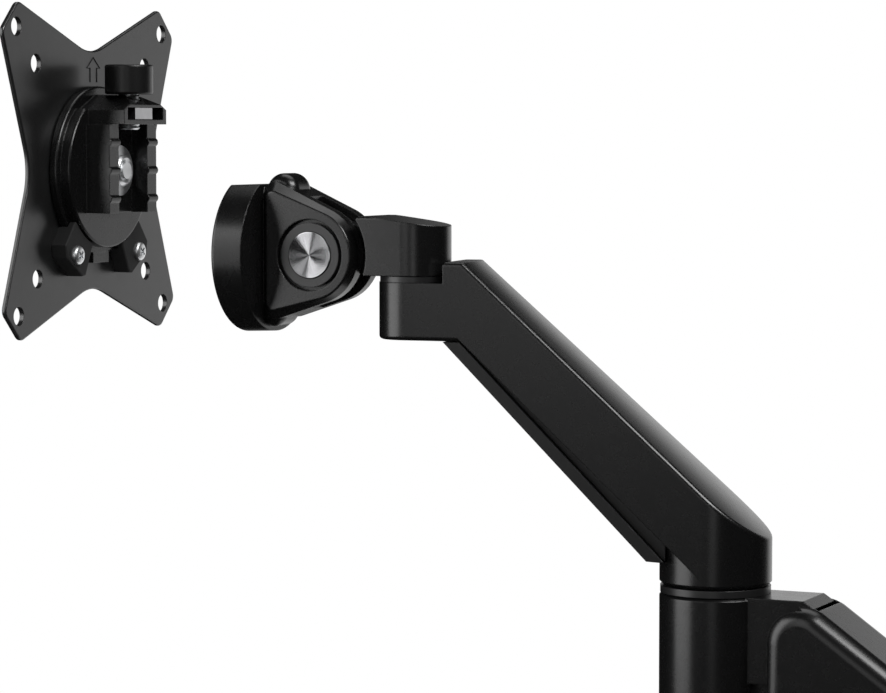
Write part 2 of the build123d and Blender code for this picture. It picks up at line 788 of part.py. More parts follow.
with BuildPart() as gas_cylinder:
    disc(along_arm(cylinder_start, spring_w), spring_radius, spring_length)
    block(arm_plane, spring_end, cylinder_start + seat_gap, spring_w - spring_eye_radius / 2,
          spring_w + spring_eye_radius / 2, -eye_thick, eye_thick)
    across(arm_plane, spring_eye_radius, -eye_thick, eye_thick, spring_at)
    across(arm_plane, spring_pin_radius + seat_gap, -eye_thick, eye_thick, spring_at, Mode.SUBTRACT)
    disc(along_arm(cylinder_start + spring_guide, spring_w), spring_bore, spring_length - 2 * spring_guide,
         mode=Mode.SUBTRACT)
    disc(along_arm(cylinder_end, spring_w), spring_rod_radius + running_fit, -spring_guide - seat_gap,
         mode=Mode.SUBTRACT)
save(gas_cylinder, "gas_cylinder")

rod_start = cylinder_end - spring_guide - rod_inside
rod_end = anchor_u - spring_pin_radius - rod_eye_play - rod_eye_wall / 2
eye_side = spring_pin_radius + rod_eye_play

with BuildPart() as gas_rod:
    disc(along_arm(rod_start, spring_w), spring_rod_radius, rod_end - rod_start)
    disc(along_arm(rod_start, spring_w), spring_bore - side_gap, piston_length)
    with BuildSketch(arm_plane):
        with Locations((anchor_u, spring_w)):
            SlotOverall(2 * eye_outer, 2 * (eye_side + rod_eye_wall), rotation=90)
            SlotOverall(2 * eye_half, 2 * eye_side, rotation=90, mode=Mode.SUBTRACT)
    extrude(amount=eye_thick, both=True)
save(gas_rod, "gas_rod")

with BuildPart() as spring_pin:
    across(arm_plane, spring_pin_radius, -channel_outer, channel_outer, spring_at)
save(spring_pin, "spring_pin")

# Elbow hub: swivel barrel with a tongue between the arm's walls
scoop_radius = hypot(notch_overhang, cover_top) + swing_gap
scoop_angle = degrees(atan2(cover_inner_top, -notch_overhang)) - arm_lowest + swing_margin
hub_low = hub_top - hub_height
hub_ceiling = hub_low + hub_recess_depth

with BuildPart() as elbow_hub:
    disc(level(hub_x, 0, hub_top), hub_radius, -hub_straight)
    bevel_plane = Plane(origin=(hub_x, 0, hub_top - hub_straight), x_dir=(1, 0, 0), z_dir=(0, 0, -1))
    with BuildSketch(bevel_plane) as bevel:
        Circle(hub_radius)
    extrude(bevel.sketch, amount=hub_bevel_drop, taper=degrees(atan2(hub_bevel_inset, hub_bevel_drop)))
    disc(level(hub_x, 0, hub_low), hub_radius - hub_bevel_inset, hub_height - hub_straight)
    chamfer(elbow_hub.faces().sort_by(Axis.Z)[-1].edges(), hub_chamfer)
    with BuildSketch(up_plane):
        with BuildLine():
            Polyline(
                (-pivot_reach, -nose_radius),
                (0, -nose_radius),
                (0, pivot_drop - (pivot_reach - hub_flat) * tan(radians(hub_slope))),
                (hub_flat - pivot_reach, pivot_drop),
                (-pivot_reach, pivot_drop),
                close=True,
            )
        make_face()
        with BuildLine():
            swept = CenterArc((0, 0), scoop_radius, scoop_angle - 180, 180)
            Line(swept @ 1, swept @ 0)
        make_face(mode=Mode.SUBTRACT)
        Circle(nose_radius)
    extrude(amount=tongue_half, both=True)
    with BuildSketch(up_plane):
        Circle(nose_radius - side_gap)
        with Locations(link_at):
            Circle(lobe_radius)
        with Locations((-hub_flat + elbow_pin_radius, 0)):
            Circle(lobe_radius)
        make_hull()
    extrude(amount=lobe_half, both=True)
    disc(level(hub_x, 0, hub_low), elbow_pin_radius + running_fit, hub_height, mode=Mode.SUBTRACT)
    disc(level(hub_x, 0, hub_low), hub_recess_radius, hub_recess_depth, mode=Mode.SUBTRACT)
    across(up_plane, bush_radius + seat_gap, -tongue_half, tongue_half, mode=Mode.SUBTRACT)
    across(up_plane, link_pin_radius, -lobe_half, lobe_half, link_at, Mode.SUBTRACT)
save(elbow_hub, "elbow_hub")

with BuildPart() as elbow_washer:
    disc(level(hub_x, 0, hub_top), hub_radius - side_gap, hub_gap - washer_play)
    disc(level(hub_x, 0, hub_top), elbow_pin_radius + side_gap, hub_gap, mode=Mode.SUBTRACT)
save(elbow_washer, "elbow_washer")

pin_foot = hub_ceiling - retainer_play

with BuildPart() as elbow_pin:
    foot_plane = level(hub_x, 0, pin_foot)
    disc(foot_plane, elbow_pin_radius, upper_z + elbow_pin_depth - pin_foot)
    disc(foot_plane, retainer_screw_radius + seat_gap, retainer_screw_depth, mode=Mode.SUBTRACT)
save(elbow_pin, "elbow_pin")

with BuildPart() as elbow_screw:
    disc(level(hub_x, 0, pin_foot), hub_recess_radius - side_gap, -retainer_thick)
    disc(level(hub_x, 0, pin_foot - retainer_thick), retainer_screw_head_radius, -retainer_screw_head_height)
    disc(level(hub_x, 0, pin_foot), retainer_screw_radius, retainer_screw_depth)
save(elbow_screw, "elbow_screw")

# Upper arm, drawn on its own plane; a runs from the elbow axis towards the head
top_tan = tan(radians(top_slope))
under_tan = tan(radians(under_slope))
step_a = upper_span - step_wall
top_a = upper_span - top_break
under_a = upper_span - under_break
tip_end = upper_span + 2 * tip_radius
heel = -hub_radius - hub_gap
crown_lift = 2 * crown_bulge * crown_share / cos(radians(top_slope))


def top_at(a):
    return step_top - (top_a - a) * top_tan


def under_at(a):
    return tip_bottom - (under_a - a) * under_tan


def plan_hull(inset):
    # Tapered plan of the upper arm, drawn in by an inset
    Circle(hub_radius - inset)
    with Locations((upper_span, 0)):
        Circle(tip_radius - inset)
    make_hull()


top_plane = Plane(
    origin=upper_side.from_local_coords((top_a, step_top, 0)),
    x_dir=upper_side.z_dir,
    z_dir=upper_side.x_dir * -cos(radians(top_slope)) - Vector(0, 0, sin(radians(top_slope))),
)

with BuildPart() as upper_arm:
    with BuildSketch(upper_plan):
        plan_hull(0)
    extrude(amount=step_top)
    with BuildSketch(upper_side) as side:
        with BuildLine():
            Polyline(
                (heel, 0),
                (under_start, 0),
                (under_a, tip_bottom),
                (tip_end, tip_bottom),
                (tip_end, tip_top),
                (step_a, tip_top),
                (step_a, step_top),
                (top_a - crown_lift / top_tan, step_top),
                (heel, top_at(heel) + crown_lift),
                close=True,
            )
        make_face()
    extrude(side.sketch, amount=hub_radius, both=True, mode=Mode.INTERSECT)
    disc(upper_plan, hub_radius, under_at(hub_radius) + hub_gap)
    under_crown = crowned(top_plane, upper_span, hub_radius)
    rest_points = [(top_a, 0), (tip_end, 0), (tip_end, step_top), (top_a, step_top)]
    rest = outline(upper_side, rest_points, -hub_radius, hub_radius, Mode.PRIVATE)
    add(upper_arm.part & (under_crown + rest), mode=Mode.REPLACE)
    top_face = upper_arm.faces().filter_by(GeomType.CYLINDER).sort_by(lambda face: face.radius)[-1]
    step_face = upper_arm.faces().filter_by(Axis.Z).sort_by(Axis.Z)[-1]
    fillet(ShapeList(top_face.edges() + step_face.edges()), upper_edge_round)
    tip_face = upper_arm.faces().filter_by(Axis.Z).sort_by_distance((tip_x, tip_y, upper_z + tip_bottom))[0]
    tip_rim = tip_face.edges().filter_by(GeomType.CIRCLE)
    fillet(tip_rim, tip_edge_round)
    heel_face = upper_arm.faces().filter_by(Axis.Z).sort_by(Axis.Z)[0]
    chamfer(heel_face.edges().filter_by(GeomType.CIRCLE), heel_chamfer)
    disc(upper_plan, elbow_pin_radius + seat_gap, elbow_pin_depth + seat_gap, mode=Mode.SUBTRACT)
    tip_low = level(tip_x, tip_y, upper_z + tip_bottom)
    disc(tip_low, swivel_pin_radius + running_fit, tip_top - tip_bottom, mode=Mode.SUBTRACT)
    disc(tip_low, tip_recess_radius, tip_recess_depth, mode=Mode.SUBTRACT)
save(upper_arm, "upper_arm")

# Cable cover under the upper arm: a narrow neck and a wider lip
cover_tan = tan(radians(cover_slope))
cover_a = upper_span - cover_break
blunt_a = cover_blunt
lip_rise = lip_thick / cos(radians(cover_slope))
cover_start = tip_bottom - side_gap


def cover_at(a):
    return cover_start - (cover_a - a) * cover_tan


blunt_z = cover_at(blunt_a)
end_a = hub_radius - cover_blunt_drop
end_z = blunt_z - cover_blunt_drop - side_gap

with BuildPart() as cable_cover:
    with BuildSketch(upper_plan):
        plan_hull(neck_inset)
    extrude(amount=step_top)
    with BuildSketch(upper_side) as neck:
        with BuildLine():
            Polyline(
                (cover_a, cover_start),
                (blunt_a, blunt_z),
                (blunt_a - cover_blunt_drop, end_z + side_gap),
                (end_a, end_z),
                (end_a, under_at(end_a) - side_gap),
                (under_a, cover_start),
                close=True,
            )
        make_face()
    extrude(neck.sketch, amount=hub_radius, both=True, mode=Mode.INTERSECT)
    with BuildSketch(upper_plan) as lip_plan:
        plan_hull(lip_inset)
    lip_blank = extrude(lip_plan.sketch, amount=step_top, mode=Mode.PRIVATE)
    with BuildSketch(upper_side) as lip:
        with BuildLine():
            Polyline(
                (cover_a, cover_start),
                (blunt_a, blunt_z),
                (blunt_a - cover_blunt_drop, end_z + side_gap),
                (end_a, end_z),
                (end_a, cover_at(end_a) + lip_rise),
                (cover_a - lip_rise / cover_tan, cover_start),
                close=True,
            )
        make_face()
    lip_wedge = extrude(lip.sketch, amount=hub_radius, both=True, mode=Mode.PRIVATE)
    add(lip_blank & lip_wedge)
    disc(upper_plan, hub_radius + side_gap, step_top, mode=Mode.SUBTRACT)
    # Trough for the cables
    trough_a = upper_span - cable_slot_start
    outline(upper_side, [
        (cable_slot_end, cover_at(cable_slot_end) + cable_cover_wall * sqrt(2)),
        (trough_a, cover_at(trough_a) + cable_cover_wall * sqrt(2)),
        (trough_a, under_at(trough_a)),
        (cable_slot_end, under_at(cable_slot_end)),
    ], -cable_slot_width / 2, cable_slot_width / 2, Mode.SUBTRACT)
save(cable_cover, "cable_cover")

# Head swivel: washer, link, pin and retainer
with BuildPart() as swivel_washer:
    disc(level(tip_x, tip_y, upper_z + tip_top), tip_radius - side_gap, swivel_gap - washer_play)
    disc(level(tip_x, tip_y, upper_z + tip_top), swivel_pin_radius + side_gap, swivel_gap, mode=Mode.SUBTRACT)
save(swivel_washer, "swivel_washer")

link_half = link_width / 2
link_far = link_reach + link_half
fall_reach = link_eye_radius - side_gap

with BuildPart() as swivel_link:
    with BuildSketch(level(tilt_x, tip_y, link_z)):
        with Locations((link_reach / 2, 0)):
            Rectangle(link_reach, link_width)
        with Locations((link_reach, 0)):
            Circle(link_half)
    extrude(amount=link_top_head + link_below)
    link_fall = (link_top_head - link_top_tail) / (link_far - link_hollow)
    link_lip = link_top_head + link_fall * link_hollow
    outline(tilt_plane, [
        (0, link_lip),
        (link_far, link_top_tail),
        (link_far, link_lip + link_below),
        (0, link_lip + link_below),
    ], -link_half, link_half, Mode.SUBTRACT)
    across(tilt_plane, link_hollow, -link_half, link_half, mode=Mode.SUBTRACT)
    fillet(swivel_link.edges().filter_by(GeomType.LINE).filter_by(Axis.Z, reverse=True).group_by(Axis.Z)[-1],
           link_edge_round)
    with BuildSketch(tilt_plane) as tongue:
        with BuildLine():
            Polyline(
                (0, -link_below),
                (link_reach, -link_below),
                (link_reach, link_top_tail),
                (link_hollow, tongue_end),
                (fall_reach * cos(radians(tongue_fall)), fall_reach * sin(radians(tongue_fall))),
                (0, fall_reach),
                close=True,
            )
        make_face()
        Circle(link_eye_radius)
    extrude(tongue.sketch, amount=link_tongue / 2, both=True)
    across(tilt_plane, tilt_bolt_radius + running_fit, -link_half, link_half, mode=Mode.SUBTRACT)
    disc(level(tip_x, tip_y, link_z), swivel_pin_radius + seat_gap, swivel_pin_depth, mode=Mode.SUBTRACT)
save(swivel_link, "swivel_link")

swivel_foot = upper_z + tip_bottom + tip_recess_depth - retainer_play

with BuildPart() as swivel_pin:
    pin_plane = level(tip_x, tip_y, swivel_foot)
    disc(pin_plane, swivel_pin_radius, link_z + swivel_pin_depth - seat_gap - swivel_foot)
    disc(pin_plane, retainer_screw_radius + seat_gap, retainer_screw_depth, mode=Mode.SUBTRACT)
save(swivel_pin, "swivel_pin")

with BuildPart() as swivel_screw:
    head_plane = level(tip_x, tip_y, swivel_foot)
    disc(head_plane, tip_recess_radius - side_gap, -swivel_retainer_thick)
    disc(head_plane, retainer_screw_head_radius, -retainer_screw_head_height)
    disc(head_plane, retainer_screw_radius, retainer_screw_depth)
save(swivel_screw, "swivel_screw")

# Tilting head: two cheeks on a docking disc
head_half = head_width / 2
slot_half = head_slot / 2


def head_outline(plane, end, corner, back, rise, drop):
    # Rounded triangle of the head's side
    with BuildSketch(plane) as side_shape:
        Circle(end)
        with Locations((-back, rise), (-back, -drop)):
            Circle(corner)
        make_hull()
    return side_shape.sketch.face()


with BuildPart() as tilt_head:
    body_half = head_half - head_bevel
    body_sizes = (head_end_radius, head_corner_radius, head_corner_back, head_corner_rise, head_corner_drop)
    flat_sizes = (flat_end_radius, flat_corner_radius, flat_corner_back, flat_corner_rise, flat_corner_drop)
    across(tilt_plane, hump_radius, -hump_half, hump_half, (-hump_top_back, hump_top_rise))
    across(tilt_plane, hump_radius, -hump_half, hump_half, (-hump_low_back, -hump_low_drop))
    fillet(tilt_head.edges().filter_by(GeomType.CIRCLE), hump_end_round)
    extrude(head_outline(tilt_plane, *body_sizes), amount=body_half, both=True)
    for cheek in (-1, 1):
        body_end = head_outline(tilt_plane.offset(cheek * body_half), *body_sizes)
        flat_end = head_outline(tilt_plane.offset(cheek * head_half), *flat_sizes)
        loft([body_end, flat_end], ruled=True)
    fillet(tilt_head.faces().sort_by(Axis.Y)[0].edges(), head_edge_round)
    fillet(tilt_head.faces().sort_by(Axis.Y)[-1].edges(), head_edge_round)
    with BuildSketch(disc_plane) as rim:
        Circle(disc_radius)
    rim_taper = degrees(atan2(disc_draft, disc_thick))
    rim_cone = extrude(rim.sketch, amount=disc_thick, taper=rim_taper, mode=Mode.PRIVATE)
    with BuildSketch(disc_plane) as below_flat:
        with Locations((0, disc_flat - disc_radius)):
            Rectangle(2 * disc_radius, 2 * disc_radius)
    flat_blank = extrude(below_flat.sketch, amount=disc_thick, mode=Mode.PRIVATE)
    add(rim_cone & flat_blank)
    front_face = tilt_head.faces().sort_by(Axis.X)[0]
    fillet(front_face.edges(), disc_edge_round)
    block(tilt_plane, -head_slot_back, head_end_radius + side_gap, -disc_radius * 2, disc_radius * 2,
          -slot_half, slot_half, Mode.SUBTRACT)
    across(tilt_plane, link_eye_radius + swing_gap, -slot_half, slot_half, mode=Mode.SUBTRACT)
    across(tilt_plane, tilt_bolt_radius + seat_gap, -head_half, head_half, mode=Mode.SUBTRACT)
    for cheek in (-1, 1):
        outer = cheek * head_half
        cap_floor = cheek * (head_half - cap_recess_depth)
        bolt_floor = cheek * (head_half - cap_recess_depth - tilt_head_thick)
        across(tilt_plane, cap_recess_radius, cap_floor, outer, mode=Mode.SUBTRACT)
        across(tilt_plane, tilt_head_radius + seat_gap, bolt_floor, outer, mode=Mode.SUBTRACT)
    for screw_z in (-dock_screw_spacing / 2, dock_screw_spacing / 2):
        at = (0, (dock_tongue_top - dock_tongue_bottom) / 2 + screw_z)
        disc(disc_plane, dock_screw_radius + seat_gap, dock_screw_depth + seat_gap, at, Mode.SUBTRACT)
save(tilt_head, "tilt_head")

cap_low = head_half - cap_recess_depth


def cap_span(side, thick):
    return (side * cap_low, side * (cap_low + thick))


with BuildPart() as cap_rings:
    for cheek in (-1, 1):
        across(tilt_plane, cap_ring_radius, *cap_span(cheek, cap_ring_thick))
        across(tilt_plane, cap_disc_radius + seat_gap, *cap_span(cheek, cap_ring_thick), mode=Mode.SUBTRACT)
save(cap_rings, "cap_rings")

with BuildPart() as cap_discs:
    for cheek in (-1, 1):
        across(tilt_plane, cap_disc_radius, *cap_span(cheek, cap_disc_thick))
    fillet(cap_discs.faces().sort_by(Axis.Y)[0].edges(), cap_disc_thick / 5)
    fillet(cap_discs.faces().sort_by(Axis.Y)[-1].edges(), cap_disc_thick / 5)
save(cap_discs, "cap_discs")

bolt_seat = cap_low - tilt_head_thick

with BuildPart() as tilt_bolt:
    across(tilt_plane, tilt_head_radius, -cap_low, -bolt_seat)
    across(tilt_plane, tilt_bolt_radius, -cap_low, cap_low)
save(tilt_bolt, "tilt_bolt")

with BuildPart() as tilt_nut:
    across(tilt_plane, tilt_head_radius, bolt_seat, cap_low)
    across(tilt_plane, tilt_bolt_radius + seat_gap, bolt_seat, cap_low, mode=Mode.SUBTRACT)
save(tilt_nut, "tilt_nut")

with BuildPart() as friction_washers:
    for cheek in (-1, 1):
        faces = (cheek * slot_half, cheek * (slot_half - friction_thick))
        across(tilt_plane, friction_radius, *faces)
        across(tilt_plane, tilt_bolt_radius + seat_gap, *faces, mode=Mode.SUBTRACT)
save(friction_washers, "friction_washers")

# Docking tongue on the head's face
tongue_mid = (dock_tongue_top - dock_tongue_bottom) / 2
dock_screw_at = [(0, tongue_mid - dock_screw_spacing / 2), (0, tongue_mid + dock_screw_spacing / 2)]

with BuildPart() as dock_tongue:
    with BuildSketch(disc_plane):
        with Locations((0, tongue_mid)):
            RectangleRounded(dock_tongue_width, dock_tongue_top + dock_tongue_bottom, dock_tongue_round)
    extrude(amount=-dock_tongue_depth)
    chamfer(dock_tongue.faces().sort_by(Axis.X)[0].edges(), dock_tongue_round / 2)
    for at in dock_screw_at:
        disc(disc_plane, dock_screw_radius + seat_gap, -dock_tongue_depth, at, Mode.SUBTRACT)
        head_seat = disc_plane.offset(-dock_tongue_depth)
        disc(head_seat, dock_screw_head_radius + seat_gap, dock_screw_head_height, at, Mode.SUBTRACT)
save(dock_tongue, "dock_tongue")

with BuildPart() as dock_screws:
    for at in dock_screw_at:
        screw_face = disc_plane.offset(-dock_tongue_depth)
        disc(screw_face, dock_screw_head_radius, dock_screw_head_height, at)
        disc(screw_face, dock_screw_radius, dock_tongue_depth + dock_screw_depth, at)
save(dock_screws, "dock_screws")

# Screen plate: X-shaped sheet with two square hole patterns
plate_quarter = [(0, plate_valley), (plate_tip_low, plate_tip_high), (plate_tip_high, plate_tip_low)]
plate_points = []
for turn in range(4):
    for px, py in plate_quarter:
        quarter = radians(-90 * turn)
        plate_points.append((px * cos(quarter) - py * sin(quarter), px * sin(quarter) + py * cos(quarter)))

with BuildPart() as vesa_plate:
    with BuildSketch(plate_plane) as sheet:
        with BuildLine():
            Polyline(*plate_points, close=True)
        make_face()
        by_reach = sheet.vertices().sort_by(lambda v: hypot(v.X, v.Y))
        fillet(by_reach[:4], plate_valley_round)
        by_reach = sheet.vertices().sort_by(lambda v: hypot(v.X, v.Y))
        fillet(by_reach[-8:], plate_tip_round)
    extrude(amount=-plate_thick)
    fillet(vesa_plate.faces().sort_by(Axis.X)[0].edges() + vesa_plate.faces().sort_by(Axis.X)[-1].edges(),
           plate_edge_round)
    for pitch in (screen_large, screen_small):
        with BuildSketch(plate_plane) as pattern:
            with GridLocations(pitch, pitch, 2, 2):
                Circle(screen_hole_radius)
        extrude(pattern.sketch, amount=-plate_thick, mode=Mode.SUBTRACT)
    disc(plate_plane, plate_bolt_radius + seat_gap, -plate_thick, mode=Mode.SUBTRACT)
    bolt_seat_plane = plate_plane.offset(-plate_thick)
    disc(bolt_seat_plane, plate_bolt_head_radius + seat_gap, plate_bolt_head_thick, mode=Mode.SUBTRACT)
    for block_side in (-1, 1):
        at = (block_side * block_screw_y, -block_screw_z)
        disc(plate_plane, block_screw_radius + seat_gap, -plate_thick, at, Mode.SUBTRACT)
save(vesa_plate, "vesa_plate")

with BuildPart() as slip_washer:
    disc(plate_plane, slip_radius, slip_thick - washer_play)
    disc(plate_plane, plate_bolt_radius + side_gap, slip_thick, mode=Mode.SUBTRACT)
save(slip_washer, "slip_washer")

# Quick-release bracket: flanged boss, two rails, and a hood that holds the lock nut
pocket_half = pocket_width / 2
rail_outer = pocket_half + rail_width
lock_plane = level(plate_x + lock_axis, tip_y, plate_z)

with BuildPart() as quick_release_bracket:
    disc(plate_plane.offset(slip_thick), flange_radius, flange_top - slip_thick)
    fillet(quick_release_bracket.faces().sort_by(Axis.X)[-1].edges(), flange_round)
    with BuildSketch(plate_plane.offset(slip_thick)) as boss:
        Circle(boss_radius)
        with Locations((0, boss_flat + boss_radius)):
            Rectangle(2 * boss_radius, 2 * boss_radius, mode=Mode.SUBTRACT)
    extrude(boss.sketch, amount=boss_top - slip_thick)
    fillet(quick_release_bracket.faces().sort_by(Axis.X)[-1].edges(), flange_round)
    block(plate_plane, -lug_width / 2, lug_width / 2, -lug_low, 0, slip_thick, lug_top)
    for rail in (-1, 1):
        inner, outer = sorted((rail * pocket_half, rail * rail_outer))
        block(plate_plane, inner, outer, -rail_low, hood_bottom, boss_top, rail_top)
        for rib in (-1, 0, 1):
            rib_at = (rail_top + rail_rib - rail_rib_radius, rib * rail_rib_pitch)
            across(plate_side, rail_rib_radius, inner, outer, rib_at)
    block(plate_plane, -pocket_half, pocket_half, -rail_low, hood_bottom, boss_top, floor_height)
    outline(plate_plane, [
        (-hood_width / 2, hood_bottom),
        (hood_width / 2, hood_bottom),
        (hood_width / 2, hood_shoulder),
        (hood_ridge / 2, hood_top),
        (-hood_ridge / 2, hood_top),
        (-hood_width / 2, hood_shoulder),
    ], slip_thick, hood_front)
    hood_half = hood_width / 2
    outline(plate_side, [(hood_front, hood_brow), (hood_front, hood_top), (hood_back, hood_top)], -hood_half,
            hood_half, Mode.SUBTRACT)
    slot_half_width = nut_slot_width / 2
    block(plate_plane, -slot_half_width, slot_half_width, nut_slot_low, nut_slot_high, nut_slot_back,
          hood_front, Mode.SUBTRACT)
    disc(plate_plane, plate_bolt_radius + side_gap, floor_height, mode=Mode.SUBTRACT)
    disc(lock_plane, lock_screw_radius + side_gap, knob_high, mode=Mode.SUBTRACT)
save(quick_release_bracket, "quick_release_bracket")

nut_low = (nut_slot_low + nut_slot_high - lock_nut_thick) / 2

with BuildPart() as captive_nut:
    with BuildSketch(lock_plane.offset(nut_low)):
        Rectangle(lock_nut_width, lock_nut_width)
        Circle(lock_screw_radius + running_fit, mode=Mode.SUBTRACT)
    extrude(amount=lock_nut_thick)
save(captive_nut, "captive_nut")

with BuildPart() as lock_knob:
    disc(lock_plane.offset(knob_low), knob_radius, knob_high - knob_low)
    fillet(lock_knob.edges().group_by(Axis.Z)[-1] + lock_knob.edges().group_by(Axis.Z)[0], knob_edge_round)
    knob_middle = (knob_high - knob_low) / 2
    disc(lock_plane.offset(knob_low), lock_screw_radius + seat_gap, knob_middle, mode=Mode.SUBTRACT)
save(lock_knob, "lock_knob")

with BuildPart() as lock_screw:
    disc(lock_plane.offset(lock_tip), lock_screw_radius, (knob_low + knob_high) / 2 - seat_gap - lock_tip)
    chamfer(lock_screw.edges().group_by(Axis.Z)[0], lock_screw_radius / 6)
save(lock_screw, "lock_screw")

# Stop blocks that keep the flange and limit its turn, with their screws
with BuildPart() as stop_blocks:
    for block_side in (-1, 1):
        points = [(block_side * py, -pz) for py, pz in block_points]
        outline(plate_plane, points, 0, block_top)
    chamfer(stop_blocks.faces().filter_by(Axis.X).group_by(Axis.X)[-1].edges(), block_chamfer)
    disc(plate_plane, flange_radius + block_gap, flange_top + side_gap, mode=Mode.SUBTRACT)
    disc(plate_plane, boss_radius + block_gap, block_top, mode=Mode.SUBTRACT)
    for block_side in (-1, 1):
        at = (block_side * block_screw_y, -block_screw_z)
        disc(plate_plane, block_screw_radius + seat_gap, block_top, at, Mode.SUBTRACT)
save(stop_blocks, "stop_blocks")

with BuildPart() as stop_screws:
    for block_side in (-1, 1):
        at = (block_side * block_screw_y, -block_screw_z)
        disc(plate_plane.offset(block_top), block_screw_head_radius, block_screw_head_height, at)
        disc(plate_plane.offset(block_top), block_screw_radius, -block_top - plate_thick, at)
save(stop_screws, "stop_screws")

# Pivot bolt that the bracket turns on
with BuildPart() as plate_bolt:
    disc(plate_plane.offset(-plate_thick), plate_bolt_head_radius, plate_bolt_head_thick)
    disc(plate_plane.offset(-plate_thick), plate_bolt_radius, plate_thick + plate_bolt_end)
save(plate_bolt, "plate_bolt")

washer_low = floor_height + washer_play

with BuildPart() as plate_washer:
    disc(plate_plane.offset(washer_low), plate_washer_radius, plate_washer_thick)
    disc(plate_plane.offset(washer_low), plate_bolt_radius + seat_gap, plate_washer_thick, mode=Mode.SUBTRACT)
save(plate_washer, "plate_washer")

with BuildPart() as plate_nut:
    with BuildSketch(plate_plane.offset(washer_low + plate_washer_thick)):
        RegularPolygon(plate_nut_radius, 6)
        Circle(plate_bolt_radius + seat_gap, mode=Mode.SUBTRACT)
    extrude(amount=plate_nut_thick)
save(plate_nut, "plate_nut")
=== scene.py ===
import json
import math

import bpy
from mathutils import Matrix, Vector


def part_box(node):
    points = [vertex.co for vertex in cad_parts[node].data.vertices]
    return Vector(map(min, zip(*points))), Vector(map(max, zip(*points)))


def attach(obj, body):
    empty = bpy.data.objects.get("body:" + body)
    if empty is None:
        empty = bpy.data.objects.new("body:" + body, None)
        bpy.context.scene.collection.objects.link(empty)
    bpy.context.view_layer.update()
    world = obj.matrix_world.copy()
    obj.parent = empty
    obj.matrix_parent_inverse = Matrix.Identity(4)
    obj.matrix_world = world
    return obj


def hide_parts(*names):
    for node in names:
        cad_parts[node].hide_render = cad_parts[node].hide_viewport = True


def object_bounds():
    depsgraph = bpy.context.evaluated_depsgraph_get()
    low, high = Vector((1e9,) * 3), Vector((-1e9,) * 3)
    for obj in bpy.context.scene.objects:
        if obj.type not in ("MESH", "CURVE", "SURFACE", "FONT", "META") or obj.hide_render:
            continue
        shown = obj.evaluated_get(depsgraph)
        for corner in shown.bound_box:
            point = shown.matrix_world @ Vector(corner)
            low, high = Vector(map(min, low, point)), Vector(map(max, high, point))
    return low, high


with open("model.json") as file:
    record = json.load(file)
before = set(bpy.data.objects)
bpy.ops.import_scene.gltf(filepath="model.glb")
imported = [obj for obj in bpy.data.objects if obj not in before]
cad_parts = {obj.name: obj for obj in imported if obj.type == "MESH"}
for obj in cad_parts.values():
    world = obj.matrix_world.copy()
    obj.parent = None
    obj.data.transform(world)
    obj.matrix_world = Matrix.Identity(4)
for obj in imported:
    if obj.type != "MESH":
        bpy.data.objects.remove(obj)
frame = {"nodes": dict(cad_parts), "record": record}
nodes = frame["nodes"]
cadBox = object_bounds()
print("frame loaded:", len(nodes), "nodes")


def mm(*values):
    return Vector(value / 1000 for value in values)


# a node's output that takes part in sums, each of which adds a Math node
class Value:
    def __init__(self, tree, socket):
        self.tree = tree
        self.socket = socket

    def maths(self, operation, first, second=0.0):
        made = self.tree.nodes.new("ShaderNodeMath")
        made.operation = operation
        for slot, item in zip(made.inputs, (first, second)):
            if isinstance(item, Value):
                self.tree.links.new(item.socket, slot)
            else:
                slot.default_value = item
        return Value(self.tree, made.outputs[0])

    def __add__(self, other):
        return self.maths("ADD", self, other)

    def __sub__(self, other):
        return self.maths("SUBTRACT", self, other)

    def __rsub__(self, other):
        return self.maths("SUBTRACT", other, self)

    def __mul__(self, other):
        return self.maths("MULTIPLY", self, other)

    def __truediv__(self, other):
        return self.maths("DIVIDE", self, other)

    def __lt__(self, other):
        return self.maths("LESS_THAN", self, other)

    def __gt__(self, other):
        return self.maths("GREATER_THAN", self, other)

    def power(self, other):
        return self.maths("POWER", self, other)

    def least(self, other):
        return self.maths("MINIMUM", self, other)

    def most(self, other):
        return self.maths("MAXIMUM", self, other)

    def zigzag(self):
        return self.maths("PINGPONG", self, 0.5) * 2

    def wave(self, operation):
        return self.maths(operation, self)

    __radd__ = __add__
    __rmul__ = __mul__


# a node tree that is being written
class Sheet:
    def __init__(self, tree):
        self.tree = tree

    def add(self, kind, settings=None, sockets=None, out=0):
        made = self.tree.nodes.new(kind)
        for key, item in (settings or {}).items():
            setattr(made, key, item)
        for key, item in (sockets or {}).items():
            self.join(item, made.inputs[key])
        return Value(self.tree, made.outputs[out])

    def join(self, item, slot):
        for part in item if isinstance(item, list) else [item]:
            if isinstance(part, Value):
                self.tree.links.new(part.socket, slot)
            else:
                slot.default_value = part


